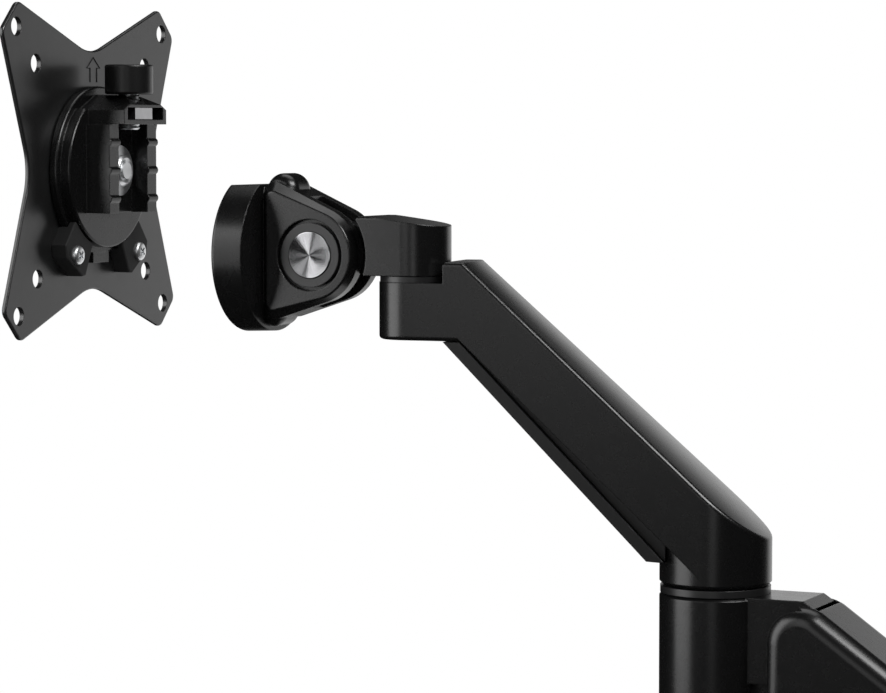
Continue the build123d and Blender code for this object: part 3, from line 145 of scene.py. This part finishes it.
# a material, or the world, with its Principled surface if it has one
class Finish(Sheet):
    edgeSamples = 6

    def __init__(self, name, holder=None):
        self.material = holder or bpy.data.materials.new(name)
        self.material.use_nodes = True
        super().__init__(self.material.node_tree)
        self.surface = self.tree.nodes.get("Principled BSDF")

    def set(self, **sockets):
        for key, item in sockets.items():
            self.join(item, self.surface.inputs[key.replace("_", " ")])

    def place(self, centre=None):
        point = self.add("ShaderNodeTexCoord", out=3)
        if centre is None:
            return point
        return self.add("ShaderNodeMapping", {"vector_type": "TEXTURE"}, {
            "Vector": point, "Location": tuple(centre)})

    def noise(self, point, scale, detail):
        return self.add("ShaderNodeTexNoise", None, {"Vector": point, "Scale": scale, "Detail": detail})

    def tint(self, amount, dark, light):
        return self.add("ShaderNodeMix", {"data_type": "RGBA"}, {
            0: amount, 6: (*dark, 1), 7: (*light, 1)}, out=2)

    def bump(self, height, strength, distance, edge=None):
        sockets = {"Height": height, "Strength": strength, "Distance": distance}
        if edge:
            sockets["Normal"] = self.add("ShaderNodeBevel", {"samples": self.edgeSamples}, {"Radius": edge})
        return self.add("ShaderNodeBump", None, sockets)


# coated and moulded blacks differ only in these numbers; depth and edge are in metres
blackFinishes = {
    "satinCasting": {"dark": 0.0022, "light": 0.0036, "rough": 0.27, "spread": 0.05, "grain": 2600,
                     "depth": 0.00003, "strength": 0.10, "shine": 0.5, "edge": 0.0005},
    "blackSteel": {"dark": 0.0026, "light": 0.0044, "rough": 0.34, "spread": 0.06, "grain": 2200,
                   "depth": 0.00004, "strength": 0.14, "shine": 0.45, "edge": 0.0004},
    "plateCoat": {"dark": 0.005, "light": 0.008, "rough": 0.30, "spread": 0.06, "grain": 1900,
                  "depth": 0.00005, "strength": 0.20, "shine": 0.8, "edge": 0.0003},
    "mouldedBlack": {"dark": 0.0022, "light": 0.0038, "rough": 0.36, "spread": 0.05, "grain": 3400,
                     "depth": 0.00002, "strength": 0.10, "shine": 0.45, "edge": 0.0005},
    "springLacquer": {"dark": 0.003, "light": 0.005, "rough": 0.22, "spread": 0.04, "grain": 1500,
                      "depth": 0.00002, "strength": 0.06, "shine": 0.5, "edge": 0.0003},
    "nylonBlack": {"dark": 0.006, "light": 0.010, "rough": 0.34, "spread": 0.05, "grain": 3000,
                   "depth": 0.00002, "strength": 0.08, "shine": 0.5, "edge": 0.0003},
    "rubberBlack": {"dark": 0.008, "light": 0.014, "rough": 0.76, "spread": 0.08, "grain": 1800,
                    "depth": 0.00006, "strength": 0.30, "shine": 0.3, "edge": 0.0004},
    "mattePaint": {"dark": 0.006, "light": 0.010, "rough": 0.72, "spread": 0.06, "grain": 1900,
                   "depth": 0.00005, "strength": 0.20, "shine": 0.3, "edge": 0.0004},
    "capRingGrey": {"dark": 0.010, "light": 0.014, "rough": 0.32, "spread": 0.05, "grain": 2600,
                    "depth": 0.00002, "strength": 0.08, "shine": 0.5, "edge": 0.0004},
}
coatNoise = {"cloud": 38, "wear": 260, "blueShare": 1.03}


def blackFinish(name):
    look = blackFinishes[name]
    coat = Finish(name)
    point = coat.place()
    cloud = coat.noise(point, coatNoise["cloud"], 3)
    grain = coat.noise(point, look["grain"], 2)
    wear = coat.noise(point, coatNoise["wear"], 3)
    dark, light = look["dark"], look["light"]
    coat.set(
        Base_Color=coat.tint(cloud, (dark, dark, dark), (light, light, light * coatNoise["blueShare"])),
        Roughness=look["rough"] + look["spread"] * (wear - 0.5),
        Normal=coat.bump(grain, look["strength"], look["depth"], look["edge"]),
        Specular_IOR_Level=look["shine"],
    )
    return coat.material


metalFinishes = {
    "zincPlate": {"dark": (0.68, 0.69, 0.70), "light": (0.84, 0.85, 0.86), "rough": 0.38, "spread": 0.12,
                  "grain": 900, "depth": 0.00002},
    "groundSteel": {"dark": (0.42, 0.42, 0.43), "light": (0.56, 0.56, 0.57), "rough": 0.30, "spread": 0.10,
                    "grain": 1600, "depth": 0.00002},
    "sinterBronze": {"dark": (0.36, 0.23, 0.11), "light": (0.50, 0.34, 0.18), "rough": 0.46, "spread": 0.10,
                     "grain": 2600, "depth": 0.00004},
    "spunAluminium": {"dark": (0.36, 0.36, 0.37), "light": (0.46, 0.46, 0.47), "rough": 0.18, "spread": 0.04,
                      "grain": 2400, "depth": 0.00002},
}
metalNoise = {"cloud": 240, "wear": 420, "strength": 0.12}


def metalFinish(name):
    look = metalFinishes[name]
    metal = Finish(name)
    point = metal.place()
    cloud = metal.noise(point, metalNoise["cloud"], 3)
    grain = metal.noise(point, look["grain"], 2)
    wear = metal.noise(point, metalNoise["wear"], 4)
    metal.set(
        Base_Color=metal.tint(cloud, look["dark"], look["light"]),
        Metallic=1.0,
        Roughness=look["rough"] + look["spread"] * (wear - 0.5),
        Normal=metal.bump(grain, metalNoise["strength"], look["depth"]),
    )
    return metal.material


finishes = {name: blackFinish(name) for name in blackFinishes}
finishes.update({name: metalFinish(name) for name in metalFinishes})
slotFinishes = {
    "black_casting": "satinCasting",
    "black_steel": "blackSteel",
    "plate_coat": "plateCoat",
    "black_plastic": "mouldedBlack",
    "cap_ring_grey": "capRingGrey",
    "spun_aluminium": "spunAluminium",
    "zinc_steel": "zincPlate",
    "pin_steel": "groundSteel",
    "spring_tube": "springLacquer",
    "nylon": "nylonBlack",
    "bronze": "sinterBronze",
    "black_rubber": "rubberBlack",
}
nodeFinishes = {"stop_blocks": "mattePaint", "captive_nut": "groundSteel"}  # instead of their slots' finishes
nodeSlots = {entry["node"]: entry["material_slot"] for entry in frame["record"]["subparts"]}
for node, slotName in nodeSlots.items():
    cadMesh = nodes[node].data
    cadMesh.materials.clear()
    cadMesh.materials.append(finishes[nodeFinishes.get(node, slotFinishes[slotName])])
print("finishes set:", len(finishes))


# a Geometry Nodes tree with named sizes; its places carry the way that each copy faces
class Shape(Sheet):
    weldGap = 0.000002

    def __init__(self, name):
        super().__init__(bpy.data.node_groups.new(name, "GeometryNodeTree"))
        face = self.tree.interface
        face.new_socket("places", in_out="INPUT", socket_type="NodeSocketGeometry")
        face.new_socket("piece", in_out="OUTPUT", socket_type="NodeSocketGeometry")
        self.keys = {}
        self.source = self.tree.nodes.new("NodeGroupInput")
        self.target = self.tree.nodes.new("NodeGroupOutput")
        self.finish = self.size("finish", "Material")

    def size(self, name, kind="Float"):
        made = self.tree.interface.new_socket(name, in_out="INPUT", socket_type="NodeSocket" + kind)
        self.keys[name] = made.identifier
        return Value(self.tree, self.source.outputs[name])

    def places(self):
        return Value(self.tree, self.source.outputs["places"])

    def axes(self):
        position = self.add("GeometryNodeInputPosition")
        split = self.add("ShaderNodeSeparateXYZ", None, {0: position}).socket.node
        return [Value(self.tree, outlet) for outlet in split.outputs]

    def point(self, x, y, z):
        return self.add("ShaderNodeCombineXYZ", None, {0: x, 1: y, 2: z})

    def moved(self, geometry, position):
        return self.add("GeometryNodeSetPosition", None, {"Geometry": geometry, "Position": position})

    def shifted(self, geometry, shift, turn=(0, 0, 0)):
        return self.add("GeometryNodeTransform", None, {
            "Geometry": geometry, "Translation": shift, "Rotation": turn})

    def merged(self, *pieces):
        return self.add("GeometryNodeJoinGeometry", None, {"Geometry": list(pieces)})

    def welded(self, geometry):
        return self.add("GeometryNodeMergeByDistance", None, {"Geometry": geometry, "Distance": self.weldGap})

    def close(self, geometry):
        facing = self.add("GeometryNodeInputNamedAttribute", {"data_type": "FLOAT_VECTOR"}, {
            "Name": "facing"})
        turn = self.add("FunctionNodeEulerToRotation", None, {0: facing})
        copies = self.add("GeometryNodeInstanceOnPoints", None, {
            "Points": self.places(), "Instance": geometry, "Rotation": turn})
        self.dress(copies)

    def dress(self, geometry):
        whole = self.add("GeometryNodeRealizeInstances", None, {"Geometry": geometry})
        dressed = self.add("GeometryNodeSetMaterial", None, {"Geometry": whole, "Material": self.finish})
        self.tree.links.new(dressed.socket, self.target.inputs[0])


sharpFrom = math.radians(32)


def keepPiece(name, mesh, body, stands):
    mesh.name = name
    mesh.shade_smooth()
    mesh.set_sharp_from_angle(angle=sharpFrom)
    piece = bpy.data.objects.new(name, mesh)
    bpy.context.scene.collection.objects.link(piece)
    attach(piece, body)
    if stands:
        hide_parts(stands)
    print("piece made:", name, len(mesh.polygons), "faces")


# runs a shape at its places and keeps the result as a plain mesh, in the finish of the slot of the node that
# it stands for
def makePiece(name, shape, places, sizes, body, stands=None, slotName=None, edges=()):
    slotName = slotName or nodeSlots[stands]
    spots = bpy.data.meshes.new(name + "Places")
    spots.from_pydata([tuple(spot) for spot, facing in places], list(edges), [])
    facings = spots.attributes.new("facing", "FLOAT_VECTOR", "POINT")
    for entry, (spot, facing) in zip(facings.data, places):
        entry.vector = facing
    holder = bpy.data.objects.new(name + "Holder", spots)
    bpy.context.scene.collection.objects.link(holder)
    maker = holder.modifiers.new("shape", "NODES")
    maker.node_group = shape.tree
    for key, item in sizes.items():
        maker[shape.keys[key]] = item
    maker[shape.keys["finish"]] = finishes[slotFinishes[slotName]]
    graph = bpy.context.evaluated_depsgraph_get()
    mesh = bpy.data.meshes.new_from_object(holder.evaluated_get(graph), depsgraph=graph)
    bpy.data.objects.remove(holder)
    keepPiece(name, mesh, body, stands)


# ways to face, as turns of a shape that is drawn standing up
faceUp = (0, 0, 0)
faceArm = (0, math.pi / 2, 0)
faceScreen = (0, -math.pi / 2, 0)
faceNear = (math.pi / 2, 0, 0)
faceFar = (-math.pi / 2, 0, 0)


# fineness of the screw's mesh, and its dome, underside and pit as shares of its sizes
screwForm = {"segments": 40, "rings": 20, "shankSides": 24, "pitSides": 16, "dome": 0.6, "underside": 0.1,
             "pitTop": 1.1, "pitFoot": 0.4, "pitDepth": 2.2, "pitDrop": 1.3, "thinnest": 0.0001}


# pan-head screw with a cross recess; the ball's rings spread into a dome above and a shallow bowl below
def crossScrewShape():
    shape = Shape("crossScrew")
    radius, height = shape.size("head radius"), shape.size("head height")
    shankRadius, shankLength = shape.size("shank radius"), shape.size("shank length")
    reach, width, depth = shape.size("cross reach"), shape.size("cross width"), shape.size("cross depth")
    ball = shape.add("GeometryNodeMeshUVSphere", None, {
        "Segments": screwForm["segments"], "Rings": screwForm["rings"], "Radius": 1.0})
    x, y, z = shape.axes()
    flat = (x * x + y * y).power(0.5).most(screwForm["thinnest"])
    spread = flat.power(-0.5) * radius
    crown = z.most(0.0).power(screwForm["dome"]) * height
    bowl = (z * -1).most(0.0) * height * screwForm["underside"]
    head = shape.moved(ball, shape.point(x * spread, y * spread, crown - bowl))
    bars = []
    for turn in (math.pi / 4, -math.pi / 4):
        bar = shape.add("GeometryNodeMeshCube", None, {"Size": shape.point(reach * 2, width, depth * 2)})
        bars.append(shape.shifted(bar, shape.point(0.0, 0.0, height), (0, 0, turn)))
    pit = shape.add("GeometryNodeMeshCone", None, {
        "Vertices": screwForm["pitSides"], "Depth": depth * screwForm["pitDepth"],
        "Radius Top": width * screwForm["pitTop"], "Radius Bottom": width * screwForm["pitFoot"]})
    bars.append(shape.shifted(pit, shape.point(0.0, 0.0, height - depth * screwForm["pitDrop"])))
    cut = shape.add("GeometryNodeMeshBoolean", {"operation": "DIFFERENCE", "solver": "EXACT"}, {
        "Mesh 1": head, "Mesh 2": bars})
    shank = shape.add("GeometryNodeMeshCylinder", None, {
        "Vertices": screwForm["shankSides"], "Radius": shankRadius, "Depth": shankLength})
    shape.close(shape.merged(cut, shape.shifted(shank, shape.point(0.0, 0.0, shankLength * -0.5))))
    return shape


# points round a thread, a turned disc and a bead
roundPoints = {"thread": 33, "disc": 97, "bead": 8}


# threaded rod: a tube whose radius runs up and down along a helix; its first and last rows close the ends
def threadShape():
    shape = Shape("threadedRod")
    core, crest, pitch = shape.size("core"), shape.size("crest"), shape.size("pitch")
    length, bevel, rows = shape.size("length"), shape.size("bevel"), shape.size("rows")
    grid = shape.add("GeometryNodeMeshGrid", None, {
        "Size X": 1.0, "Size Y": 1.0, "Vertices X": rows, "Vertices Y": roundPoints["thread"]})
    x, y, z = shape.axes()
    row = (x + 0.5) * (rows - 1) - 1
    along = (row * length / (rows - 3)).most(0.0).least(length)
    turn = y + 0.5
    ridge = core + (crest - core) * (along / pitch + turn).zigzag()
    end = crest - bevel + along.least(length - along)
    inside = (row > -0.5) * (row < rows - 2.5)
    radius = ridge.least(end) * inside
    angle = turn * (-2 * math.pi)
    tube = shape.moved(grid, shape.point(radius * angle.wave("COSINE"), radius * angle.wave("SINE"), along))
    shape.close(shape.welded(tube))
    return shape


# turned disc with rings cut in its face; its last two rows are the rim's foot and the middle of the back
def turnedShape():
    shape = Shape("turnedDisc")
    reach, thick, edge = shape.size("radius"), shape.size("thickness"), shape.size("edge")
    pitch, depth, rows = shape.size("ring pitch"), shape.size("ring depth"), shape.size("rows")
    grid = shape.add("GeometryNodeMeshGrid", None, {
        "Size X": 1.0, "Size Y": 1.0, "Vertices X": rows, "Vertices Y": roundPoints["disc"]})
    x, y, z = shape.axes()
    row = (x + 0.5) * (rows - 1)
    rim = rows - 3
    radius = (row / rim).least(1.0) * reach * (row < rim + 1.5)
    face = thick - depth * (1 - (radius / pitch).zigzag())
    height = face.least(thick - edge + reach - radius) * (row < rim + 0.5)
    angle = (y + 0.5) * (2 * math.pi)
    disc = shape.moved(grid, shape.point(radius * angle.wave("COSINE"), radius * angle.wave("SINE"), height))
    shape.close(shape.welded(disc))
    return shape


# bead that follows a drawn line
def beadShape():
    shape = Shape("linedBead")
    radius = shape.size("radius")
    path = shape.add("GeometryNodeMeshToCurve", None, {"Mesh": shape.places()})
    section = shape.add("GeometryNodeCurvePrimitiveCircle", None, {
        "Resolution": roundPoints["bead"], "Radius": radius})
    shape.dress(shape.add("GeometryNodeCurveToMesh", None, {
        "Curve": path, "Profile Curve": section, "Fill Caps": True}))
    return shape


crossScrew = crossScrewShape()
threadedRod = threadShape()
turnedDisc = turnedShape()
linedBead = beadShape()

stopScrews = {"head radius": 0.0034, "head height": 0.0019, "shank radius": 0.0019, "shank length": 0.0080,
              "cross reach": 0.0019, "cross width": 0.0008, "cross depth": 0.0012}


def addStopScrews():
    low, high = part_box("stop_screws")
    seat = high.x - stopScrews["head height"]
    edge = stopScrews["head radius"]
    depth = (low.z + high.z) / 2
    spots = [Vector((seat, y, depth)) for y in (low.y + edge, high.y - edge)]
    places = [(spot, faceArm) for spot in spots]
    makePiece("stopScrews", crossScrew, places, stopScrews, "screen_plate", "stop_screws")


tongueScrews = {"head radius": 0.0036, "head height": 0.0018, "shank radius": 0.0020, "shank length": 0.0080,
                "cross reach": 0.0020, "cross width": 0.0008, "cross depth": 0.0012}


def addTongueScrews():
    low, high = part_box("dock_screws")
    seat = low.x + tongueScrews["head height"]
    edge = tongueScrews["head radius"]
    across = (low.y + high.y) / 2
    spots = [Vector((seat, across, z)) for z in (low.z + edge, high.z - edge)]
    places = [(spot, faceScreen) for spot in spots]
    makePiece("tongueScrews", crossScrew, places, tongueScrews, "head", "dock_screws")


def underMiddle(low, high):
    return Vector(((low.x + high.x) / 2, (low.y + high.y) / 2, low.z))


lockThread = {"core": 0.0033, "crest": 0.0039, "pitch": 0.00125, "bevel": 0.0007, "rows": 150.0}


def addLockThread():
    low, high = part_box("lock_screw")
    sizes = {**lockThread, "length": high.z - low.z}
    makePiece("lockThread", threadedRod, [(underMiddle(low, high), faceUp)], sizes, "lock", "lock_screw")


# the neck is the plain tip, hidden in the pressure plate's boss
spindleThread = {"core": 0.0041, "crest": 0.0050, "pitch": 0.0030, "bevel": 0.0012, "rows": 330.0,
                 "neck": 0.0062}


def addSpindleThread():
    low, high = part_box("clamp_spindle")
    sizes = dict(spindleThread)
    sizes["length"] = high.z - low.z - sizes.pop("neck")
    places = [(underMiddle(low, high), faceUp)]
    makePiece("spindleThread", threadedRod, places, sizes, "clamp_screw", "clamp_spindle")


spunCaps = {"radius": 0.0080, "edge": 0.0001, "ring pitch": 0.00036, "ring depth": 0.000066, "rows": 92.0}


def addSpunCaps():
    low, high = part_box("cap_discs")
    boltLow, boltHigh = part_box("tilt_bolt")
    middle = (low + high) / 2
    places = [(Vector((middle.x, seat, middle.z)), facing)
              for seat, facing in ((boltLow.y, faceNear), (boltHigh.y, faceFar))]
    sizes = {**spunCaps, "thickness": high.y - boltHigh.y}
    makePiece("spunCaps", turnedDisc, places, sizes, "head", "cap_discs")


pivotCollar = {"radius": 0.0056, "edge": 0.0009, "ring pitch": 0.0030, "ring depth": 0.0007, "rows": 40.0}


def addPivotCollar():
    low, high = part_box("plate_nut")
    foot = Vector((low.x, (low.y + high.y) / 2, (low.z + high.z) / 2))
    sizes = {**pivotCollar, "thickness": high.x - low.x}
    makePiece("pivotCollar", turnedDisc, [(foot, faceArm)], sizes, "screen_plate", "plate_nut")


jawPad = {"edge": 0.0005, "ring pitch": 0.0028, "ring depth": 0.0008, "rows": 66.0}


def addJawPad():
    low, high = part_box("pressure_pad")
    sizes = {**jawPad, "thickness": high.z - low.z, "radius": (high.x - low.x) / 2}
    makePiece("jawPad", turnedDisc, [(underMiddle(low, high), faceUp)], sizes, "clamp_jaw", "pressure_pad")


# arrow that says which way up the plate hangs, on the plate's arm side: heights and widths in millimetres
# from the plate's middle, the bead's radius in metres
upArrow = {"radius": 0.00028, "shift": 1.0, "top": 40.3, "barb": 36.5, "foot": 31.5, "barbHalf": 4.5,
           "stemHalf": 2.3}


def addUpArrow():
    low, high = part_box("vesa_plate")
    middle = Vector((high.x, (low.y + high.y) / 2, (low.z + high.z) / 2))
    barb, foot, stemHalf = upArrow["barb"], upArrow["foot"], upArrow["stemHalf"]
    half = [(0, upArrow["top"]), (upArrow["barbHalf"], barb), (stemHalf, barb), (stemHalf, foot)]
    line = [(-y, z) for y, z in reversed(half[1:])] + half
    places = [(middle + mm(0.0, upArrow["shift"] + y, z), faceUp) for y, z in line]
    makePiece("upArrow", linedBead, places, {"radius": upArrow["radius"]}, "screen_plate",
              slotName="black_rubber", edges=[(index, index + 1) for index in range(len(line) - 1)])


addStopScrews()
addTongueScrews()
addLockThread()
addSpindleThread()
addSpunCaps()
addPivotCollar()
addJawPad()
addUpArrow()

# camera fitted to the plate's holes, focal length in pixels and angles in degrees; the plate's middle lies
# at the offset from the camera, in millimetres to the right, up and ahead
cameraFit = {"focal": 3268.0, "imageWidth": 886, "sensor": 36, "heading": 24.8, "pitch": 3.74,
             "offset": (-126.56, -13.38, 1174.5), "near": 0.05, "far": 50}


def addCamera():
    heading = math.radians(cameraFit["heading"])
    pitch = math.radians(cameraFit["pitch"])
    right = Vector((math.cos(heading), math.sin(heading), 0))
    ahead = Vector((-math.sin(heading), math.cos(heading), 0))
    aside, rise, depth = mm(*cameraFit["offset"])
    low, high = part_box("vesa_plate")
    target = (low + high) / 2
    data = bpy.data.cameras.new("photoCamera")
    data.sensor_width = cameraFit["sensor"]
    data.lens = cameraFit["focal"] / cameraFit["imageWidth"] * cameraFit["sensor"]
    data.clip_start = cameraFit["near"]
    data.clip_end = cameraFit["far"]
    camera = bpy.data.objects.new("photoCamera", data)
    camera.location = target - right * aside - ahead * depth - Vector((0, 0, rise))
    gaze = ahead * math.cos(pitch) - Vector((0, 0, math.sin(pitch)))
    camera.rotation_mode = "QUATERNION"
    camera.rotation_quaternion = gaze.to_track_quat("-Z", "Y")
    bpy.context.scene.collection.objects.link(camera)
    bpy.context.scene.camera = camera
    return right, ahead


viewRight, viewAhead = addCamera()
print("camera set")

# soft boxes, by the angle to the left of the line from the object to the camera, the distance and the rise
# above the light target; a glow of 1 is a white surface
softBoxes = {
    "sideStrip": {"left": 74, "away": 1.30, "rise": 0.26, "size": (0.97, 1.25), "glow": 3.4},  # hub and disc
    "sideWash": {"left": 33, "away": 1.45, "rise": 0.44, "size": (0.52, 1.05), "glow": 1.3},  # arm sides
    "topPanel": {"left": 200, "away": 0.45, "rise": 1.50, "size": (1.30, 0.90), "glow": 1.8},  # tops
    "capGlint": {"left": 8, "away": 1.30, "rise": 0.00, "size": (0.30, 0.40), "glow": 1.3},  # caps' rings
    "edgePanel": {"left": -45, "away": 0.95, "rise": 0.95, "size": (0.90, 0.45), "glow": 13.0},  # edges
}
lightTarget = Vector((-0.36, -0.01, 0.28))  # near the upper arm's middle


def addSoftBox(name):
    box = softBoxes[name]
    left = math.radians(box["left"])
    data = bpy.data.lights.new(name, "AREA")
    data.shape = "RECTANGLE"
    data.size, data.size_y = box["size"]
    data.energy = box["glow"] * math.pi * data.size * data.size_y
    lamp = bpy.data.objects.new(name, data)
    way = viewAhead * -math.cos(left) - viewRight * math.sin(left)
    lamp.location = lightTarget + way * box["away"] + Vector((0, 0, box["rise"]))
    lamp.rotation_mode = "QUATERNION"
    lamp.rotation_quaternion = (lightTarget - lamp.location).to_track_quat("-Z", "Y")
    lamp.visible_camera = False
    bpy.context.scene.collection.objects.link(lamp)


for boxName in softBoxes:
    addSoftBox(boxName)
print("soft boxes set:", len(softBoxes))

plainWhite = (1, 1, 1, 1)


def rays(sheet, name):
    path = sheet.tree.nodes.new("ShaderNodeLightPath")
    return Value(sheet.tree, path.outputs[name])


def ramped(sheet, amount, low, high):
    return sheet.add("ShaderNodeMapRange", {"interpolation_type": "SMOOTHSTEP"}, {
        "Value": amount, "From Min": low, "From Max": high})


def along(sheet, point, way):
    return sheet.add("ShaderNodeVectorMath", {"operation": "DOT_PRODUCT"}, {0: point, 1: tuple(way)}, out=1)


# how brightly the world lights dull surfaces, and how dim a room glossy ones show
studio = {"ambient": 0.35, "room": 0.012}


def setWorld():
    world = bpy.context.scene.world or bpy.data.worlds.new("studio")
    bpy.context.scene.world = world
    air = Finish("studio", world)
    background = air.tree.nodes["Background"]
    seen = rays(air, "Is Camera Ray")
    shown = rays(air, "Is Glossy Ray") + rays(air, "Is Transmission Ray")
    plain = (1 - seen - shown) * studio["ambient"]
    air.join(seen + shown * studio["room"] + plain, background.inputs["Strength"])
    background.inputs["Color"].default_value = plainWhite


# pale floor that turns white to the camera with its distance from the object
floorPaper = {"radius": 2.0, "sides": 96, "gap": 0.002, "shade": 0.86, "mottle": 0.02, "grain": 60,
              "rough": 0.9, "whiteFrom": 0.45, "whiteTo": 1.10, "sweepTurn": 25, "sweepFrom": 0.76,
              "sweepTo": 0.93}


# glossy surfaces see the floor white only in a wedge behind the object
def sweepGlow(sheet, point):
    turn = math.radians(floorPaper["sweepTurn"])
    sweepWay = viewAhead * math.cos(turn) + viewRight * math.sin(turn)
    way = sheet.add("ShaderNodeVectorMath", {"operation": "NORMALIZE"}, {0: point})
    turned = along(sheet, way, sweepWay)
    return studio["room"] + ramped(sheet, turned, floorPaper["sweepFrom"], floorPaper["sweepTo"])


def addFloor():
    floorMesh = bpy.data.meshes.new("studioFloor")
    drop = cadBox[0].z - floorPaper["gap"]
    middle = (cadBox[0] + cadBox[1]) / 2
    radius, sides = floorPaper["radius"], floorPaper["sides"]
    turns = [math.tau * step / sides for step in range(sides)]
    ring = [(middle.x + radius * math.cos(turn), middle.y + radius * math.sin(turn), drop) for turn in turns]
    floorMesh.from_pydata(ring, [], [list(range(sides))])
    floor = bpy.data.objects.new("studioFloor", floorMesh)
    bpy.context.scene.collection.objects.link(floor)
    paper = Finish("floorPaper")
    dark, light = (floorPaper["shade"] + change for change in (-floorPaper["mottle"], floorPaper["mottle"]))
    grain = paper.noise(paper.place(), floorPaper["grain"], 3)
    paper.set(Base_Color=paper.tint(grain, (dark,) * 3, (light,) * 3), Roughness=floorPaper["rough"])
    flat = paper.add("ShaderNodeVectorMath", {"operation": "MULTIPLY"}, {
        0: paper.place((middle.x, middle.y, 0)), 1: (1, 1, 0)})
    reach = paper.add("ShaderNodeVectorMath", {"operation": "LENGTH"}, {0: flat}, out=1)
    seen = rays(paper, "Is Camera Ray")
    shown = rays(paper, "Is Glossy Ray") + rays(paper, "Is Transmission Ray")
    white = seen * ramped(paper, reach, floorPaper["whiteFrom"], floorPaper["whiteTo"]) + shown
    glow = paper.add("ShaderNodeEmission", None, {
        "Color": plainWhite, "Strength": seen + shown * sweepGlow(paper, flat)})
    mixed = paper.add("ShaderNodeMixShader", None, {
        0: white, 1: Value(paper.tree, paper.surface.outputs[0]), 2: glow})
    paper.join(mixed, paper.tree.nodes["Material Output"].inputs["Surface"])
    floorMesh.materials.append(paper.material)


# white card behind the object for glossy surfaces to show, fading at its sides and top
backdropCard = {"away": 1.0, "left": -0.90, "right": 0.42, "low": -0.05, "high": 0.95, "whiteUpTo": 0.47,
                "darkFrom": 0.75, "soft": 0.30}


def addCard():
    card = backdropCard
    corners = ((card["left"], card["low"]), (card["right"], card["low"]),
               (card["right"], card["high"]), (card["left"], card["high"]))
    cardMesh = bpy.data.meshes.new("backdropCard")
    cardMesh.from_pydata([(x, card["away"], z) for x, z in corners], [], [(0, 1, 2, 3)])
    board = bpy.data.objects.new("backdropCard", cardMesh)
    bpy.context.scene.collection.objects.link(board)
    paper = Finish("backdropCard")
    point = paper.place()
    across = along(paper, point, (1, 0, 0))
    side = (1 - ramped(paper, across, card["right"] - card["soft"], card["right"])) * ramped(
        paper, across, card["left"], card["left"] + card["soft"])
    rise = 1 - ramped(paper, along(paper, point, (0, 0, 1)), card["whiteUpTo"], card["darkFrom"])
    glow = paper.add("ShaderNodeEmission", None, {"Color": plainWhite, "Strength": side * rise})
    paper.join(glow, paper.tree.nodes["Material Output"].inputs["Surface"])
    cardMesh.materials.append(paper.material)
    board.visible_camera = False
    board.visible_diffuse = False
    board.visible_shadow = False


setWorld()
addFloor()
addCard()
bpy.context.scene.view_settings.view_transform = "Standard"
print("studio set")
